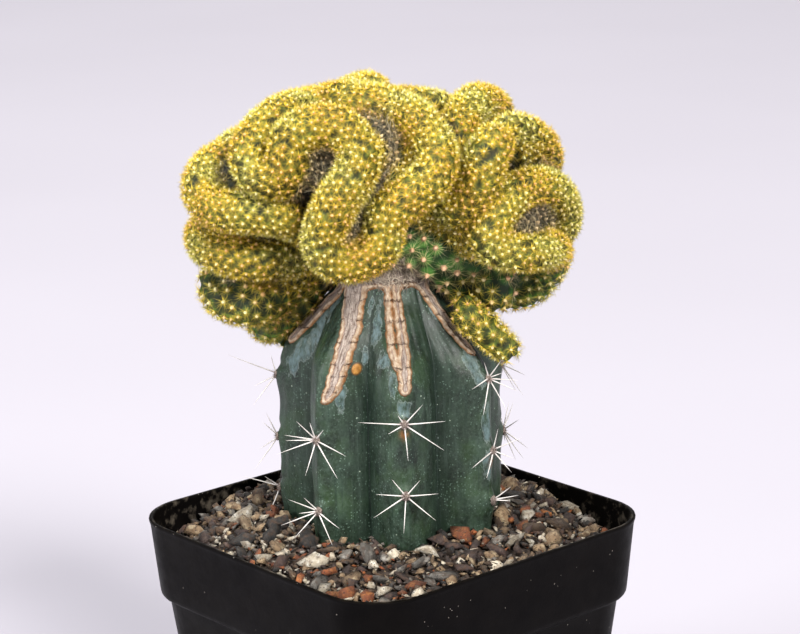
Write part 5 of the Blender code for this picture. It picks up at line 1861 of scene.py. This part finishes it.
# %% Grow the needles
def grow_stars(chosen, per_star):
    """Needles of the chosen areoles: points, faces, and a colour for each point."""
    n = len(chosen)
    normal = seat_ways[chosen]
    side, other = square_axes(normal)
    turn = ((np.arange(per_star)[None] + dice.uniform(-0.35, 0.35, (n, per_star)))
            * 2 * math.pi / per_star + dice.uniform(0, 2 * math.pi, (n, 1)))
    rise = ((0.3 + 0.4 * crown[chosen] + 0.3 * in_fold[chosen])[:, None]
            + dice.normal(0, 0.28, (n, per_star)))
    flat = fan_out(side, other, turn)
    way = unit(flat + normal[:, None] * np.clip(rise, 0.1, 1.6)[..., None])
    length = ((2.5 - 0.7 * crown[chosen] + 1.5 * in_fold[chosen] + 0.9 * on_base[chosen])[:, None]
              * dice.uniform(0.6, 1.15, (n, per_star)))
    foot = raised_seats[chosen][:, None] + flat * 0.2 - normal[:, None] * 0.05
    radius = 0.078 - 0.02 * np.maximum(on_base[chosen], 1 - seat_vigour[chosen])
    points, faces = needles(foot.reshape(-1, 3), way.reshape(-1, 3), length.ravel(),
                            np.repeat(radius, per_star))
    # a share of the needles, larger in folds, is painted dark: partly dead needles, partly painted
    # shade among the bright ones
    dead_or_shaded = dice.uniform(0, 1, (n, per_star, 1)) < (0.25 + 0.4 * in_fold[chosen])[:, None, None]
    bright = np.where(dead_or_shaded, 0.28 - 0.12 * in_fold[chosen][:, None, None],
                      dice.uniform(0.55, 1.08, (n, per_star, 1)))
    # painted shade: needles darken where the place is closed
    lit = 0.12 + 0.88 * smoothstep(seat_open[chosen], 0.0, 0.24)
    tone = (star_colour[chosen][:, None] * bright * lit[:, None, None]).reshape(-1, 4)
    foot_tone = tone * (0.84, 0.76, 0.56, 1)
    colours = np.stack([foot_tone, foot_tone, foot_tone, tone], axis=1).reshape(-1, 4)
    colours[:, 3] = 1.0
    return points, faces, np.clip(colours, 0, 1)


bristles, _, _ = toned_material("crest_bristles", {"Scale": 0.35, "Detail": 3.0}, 0.9,
                                {"Roughness": 0.45, "Specular IOR Level": 0.35})
PER_STAR = 23
MOST_TRIANGLES = 190000
MOST = MOST_TRIANGLES // (3 * PER_STAR)      # stars in one piece
by_side = np.argsort(np.arctan2(seats[:, 1], seats[:, 0]))
for number, start in enumerate(range(0, len(seats), MOST)):
    points, faces, colours = grow_stars(by_side[start:start + MOST], PER_STAR)
    piece = make_piece(f"crest_bristles_{number + 1}", from_plant(points), faces, bristles,
                       ["crest"])
    paint(piece, "tone", colours)

# %% [markdown]
# ## Areole wool
#
# The bright dot in the middle of each star is a tuft of wool. It is a low six-sided dome
# here, cream on most of the crest, more orange in patches, and larger and pinkish on the
# oldest flesh.

# %% Wool dots
def make_wool():
    normal = seat_ways
    side, other = square_axes(normal)
    weak = (1 - seat_vigour) * smoothstep(seat_age, -0.5, 2.5)
    size = ((0.47 - 0.05 * crown + 0.17 * on_base + 0.35 * weak + 0.12 * in_hollow)
            * dice.uniform(0.8, 1.15, len(seats)))
    turn = np.linspace(0, 2 * math.pi, 6, endpoint=False)
    ring = (raised_seats[:, None] + fan_out(side, other, turn) * size[:, None, None]
            + normal[:, None] * 0.05)
    top = raised_seats[:, None] + normal[:, None] * (0.42 + size)[:, None, None]
    points = np.concatenate([ring, top], axis=1).reshape(-1, 3)
    shape = [(s, (s + 1) % 6, 6) for s in range(6)] + [(0, s + 1, s) for s in range(1, 5)]
    faces = copies(shape, len(seats), 7)
    dot = mixed("ffefac", "ffc680", smoothstep(patchiness, 0.4, -1.4) * 0.85)
    dot = towards(dot, "f2bd98", on_base * 0.85)
    dot = towards(dot, "e8c8a0", in_fold * 0.7)
    # painted shade: wool dots darken where the place is closed
    lit = 0.35 + 0.65 * smoothstep(seat_open, 0.0, 0.28)
    dot *= dice.uniform(0.85, 1.1, (len(seats), 1)) * lit[:, None]
    wool = make_piece("crest_wool", from_plant(points), faces, wool_material(),
                      ["crest"])
    paint(wool, "tone", np.clip(np.repeat(dot, 7, axis=0), 0, 1))


def wool_material():
    made, tree, shader = toned_material("areole_wool", {"Scale": 3.0, "Detail": 4.0}, 0.88,
                                        {"Roughness": 0.9})
    roughen(tree, shader, 0.2, Scale=4.0, Grain=0.5)
    return made


make_wool()

# %% [markdown]
# ## Fibres round the graft
#
# Where the two plants met they healed with a corky ring, and dead spines and wool are
# caught in it. Short tangled fibres lie round the joint and close the gap between them.

# %% Graft fibres
def make_graft_fibres(count=2600):
    dice = np.random.default_rng(31)
    angle = dice.uniform(0, 2 * math.pi, count)
    up = dice.uniform(GRAFT_HEIGHT - 3.0, GRAFT_HEIGHT + 3.4, count)
    radius = np.where(up < GRAFT_HEIGHT, stock_radius(angle, up) + 0.45,
                      11.0 + 0.5 * (up - GRAFT_HEIGHT))
    out = np.column_stack([np.sin(angle), -np.cos(angle), np.zeros(count)])
    side = np.column_stack([np.cos(angle), np.sin(angle), np.zeros(count)])
    feet = out * radius[:, None] + (STOCK_SHIFT, 0, 0) + np.column_stack([np.zeros((count, 2)), up])
    ways = unit(side * dice.normal(0, 0.55, (count, 1)) + out * dice.uniform(-0.05, 0.3, (count, 1))
                + np.array([0, 0, 1.0]) * dice.normal(0.1, 0.9, (count, 1)))
    points, faces = needles(feet, ways, dice.uniform(1.2, 3.4, count),
                            dice.uniform(0.07, 0.15, count))
    look, _, _ = toned_material("graft_fibres", {"Scale": 0.5, "Detail": 4.0}, 0.6,
                                {"Roughness": 0.8})
    fibres = make_piece("graft_fibres", from_plant(points), faces, look, ["crest"])
    tone = mixed("6b5846", "d8c9b4", dice.uniform(0, 1, count) ** 0.8)
    paint(fibres, "tone", np.repeat(tone, 4, axis=0))


make_graft_fibres()
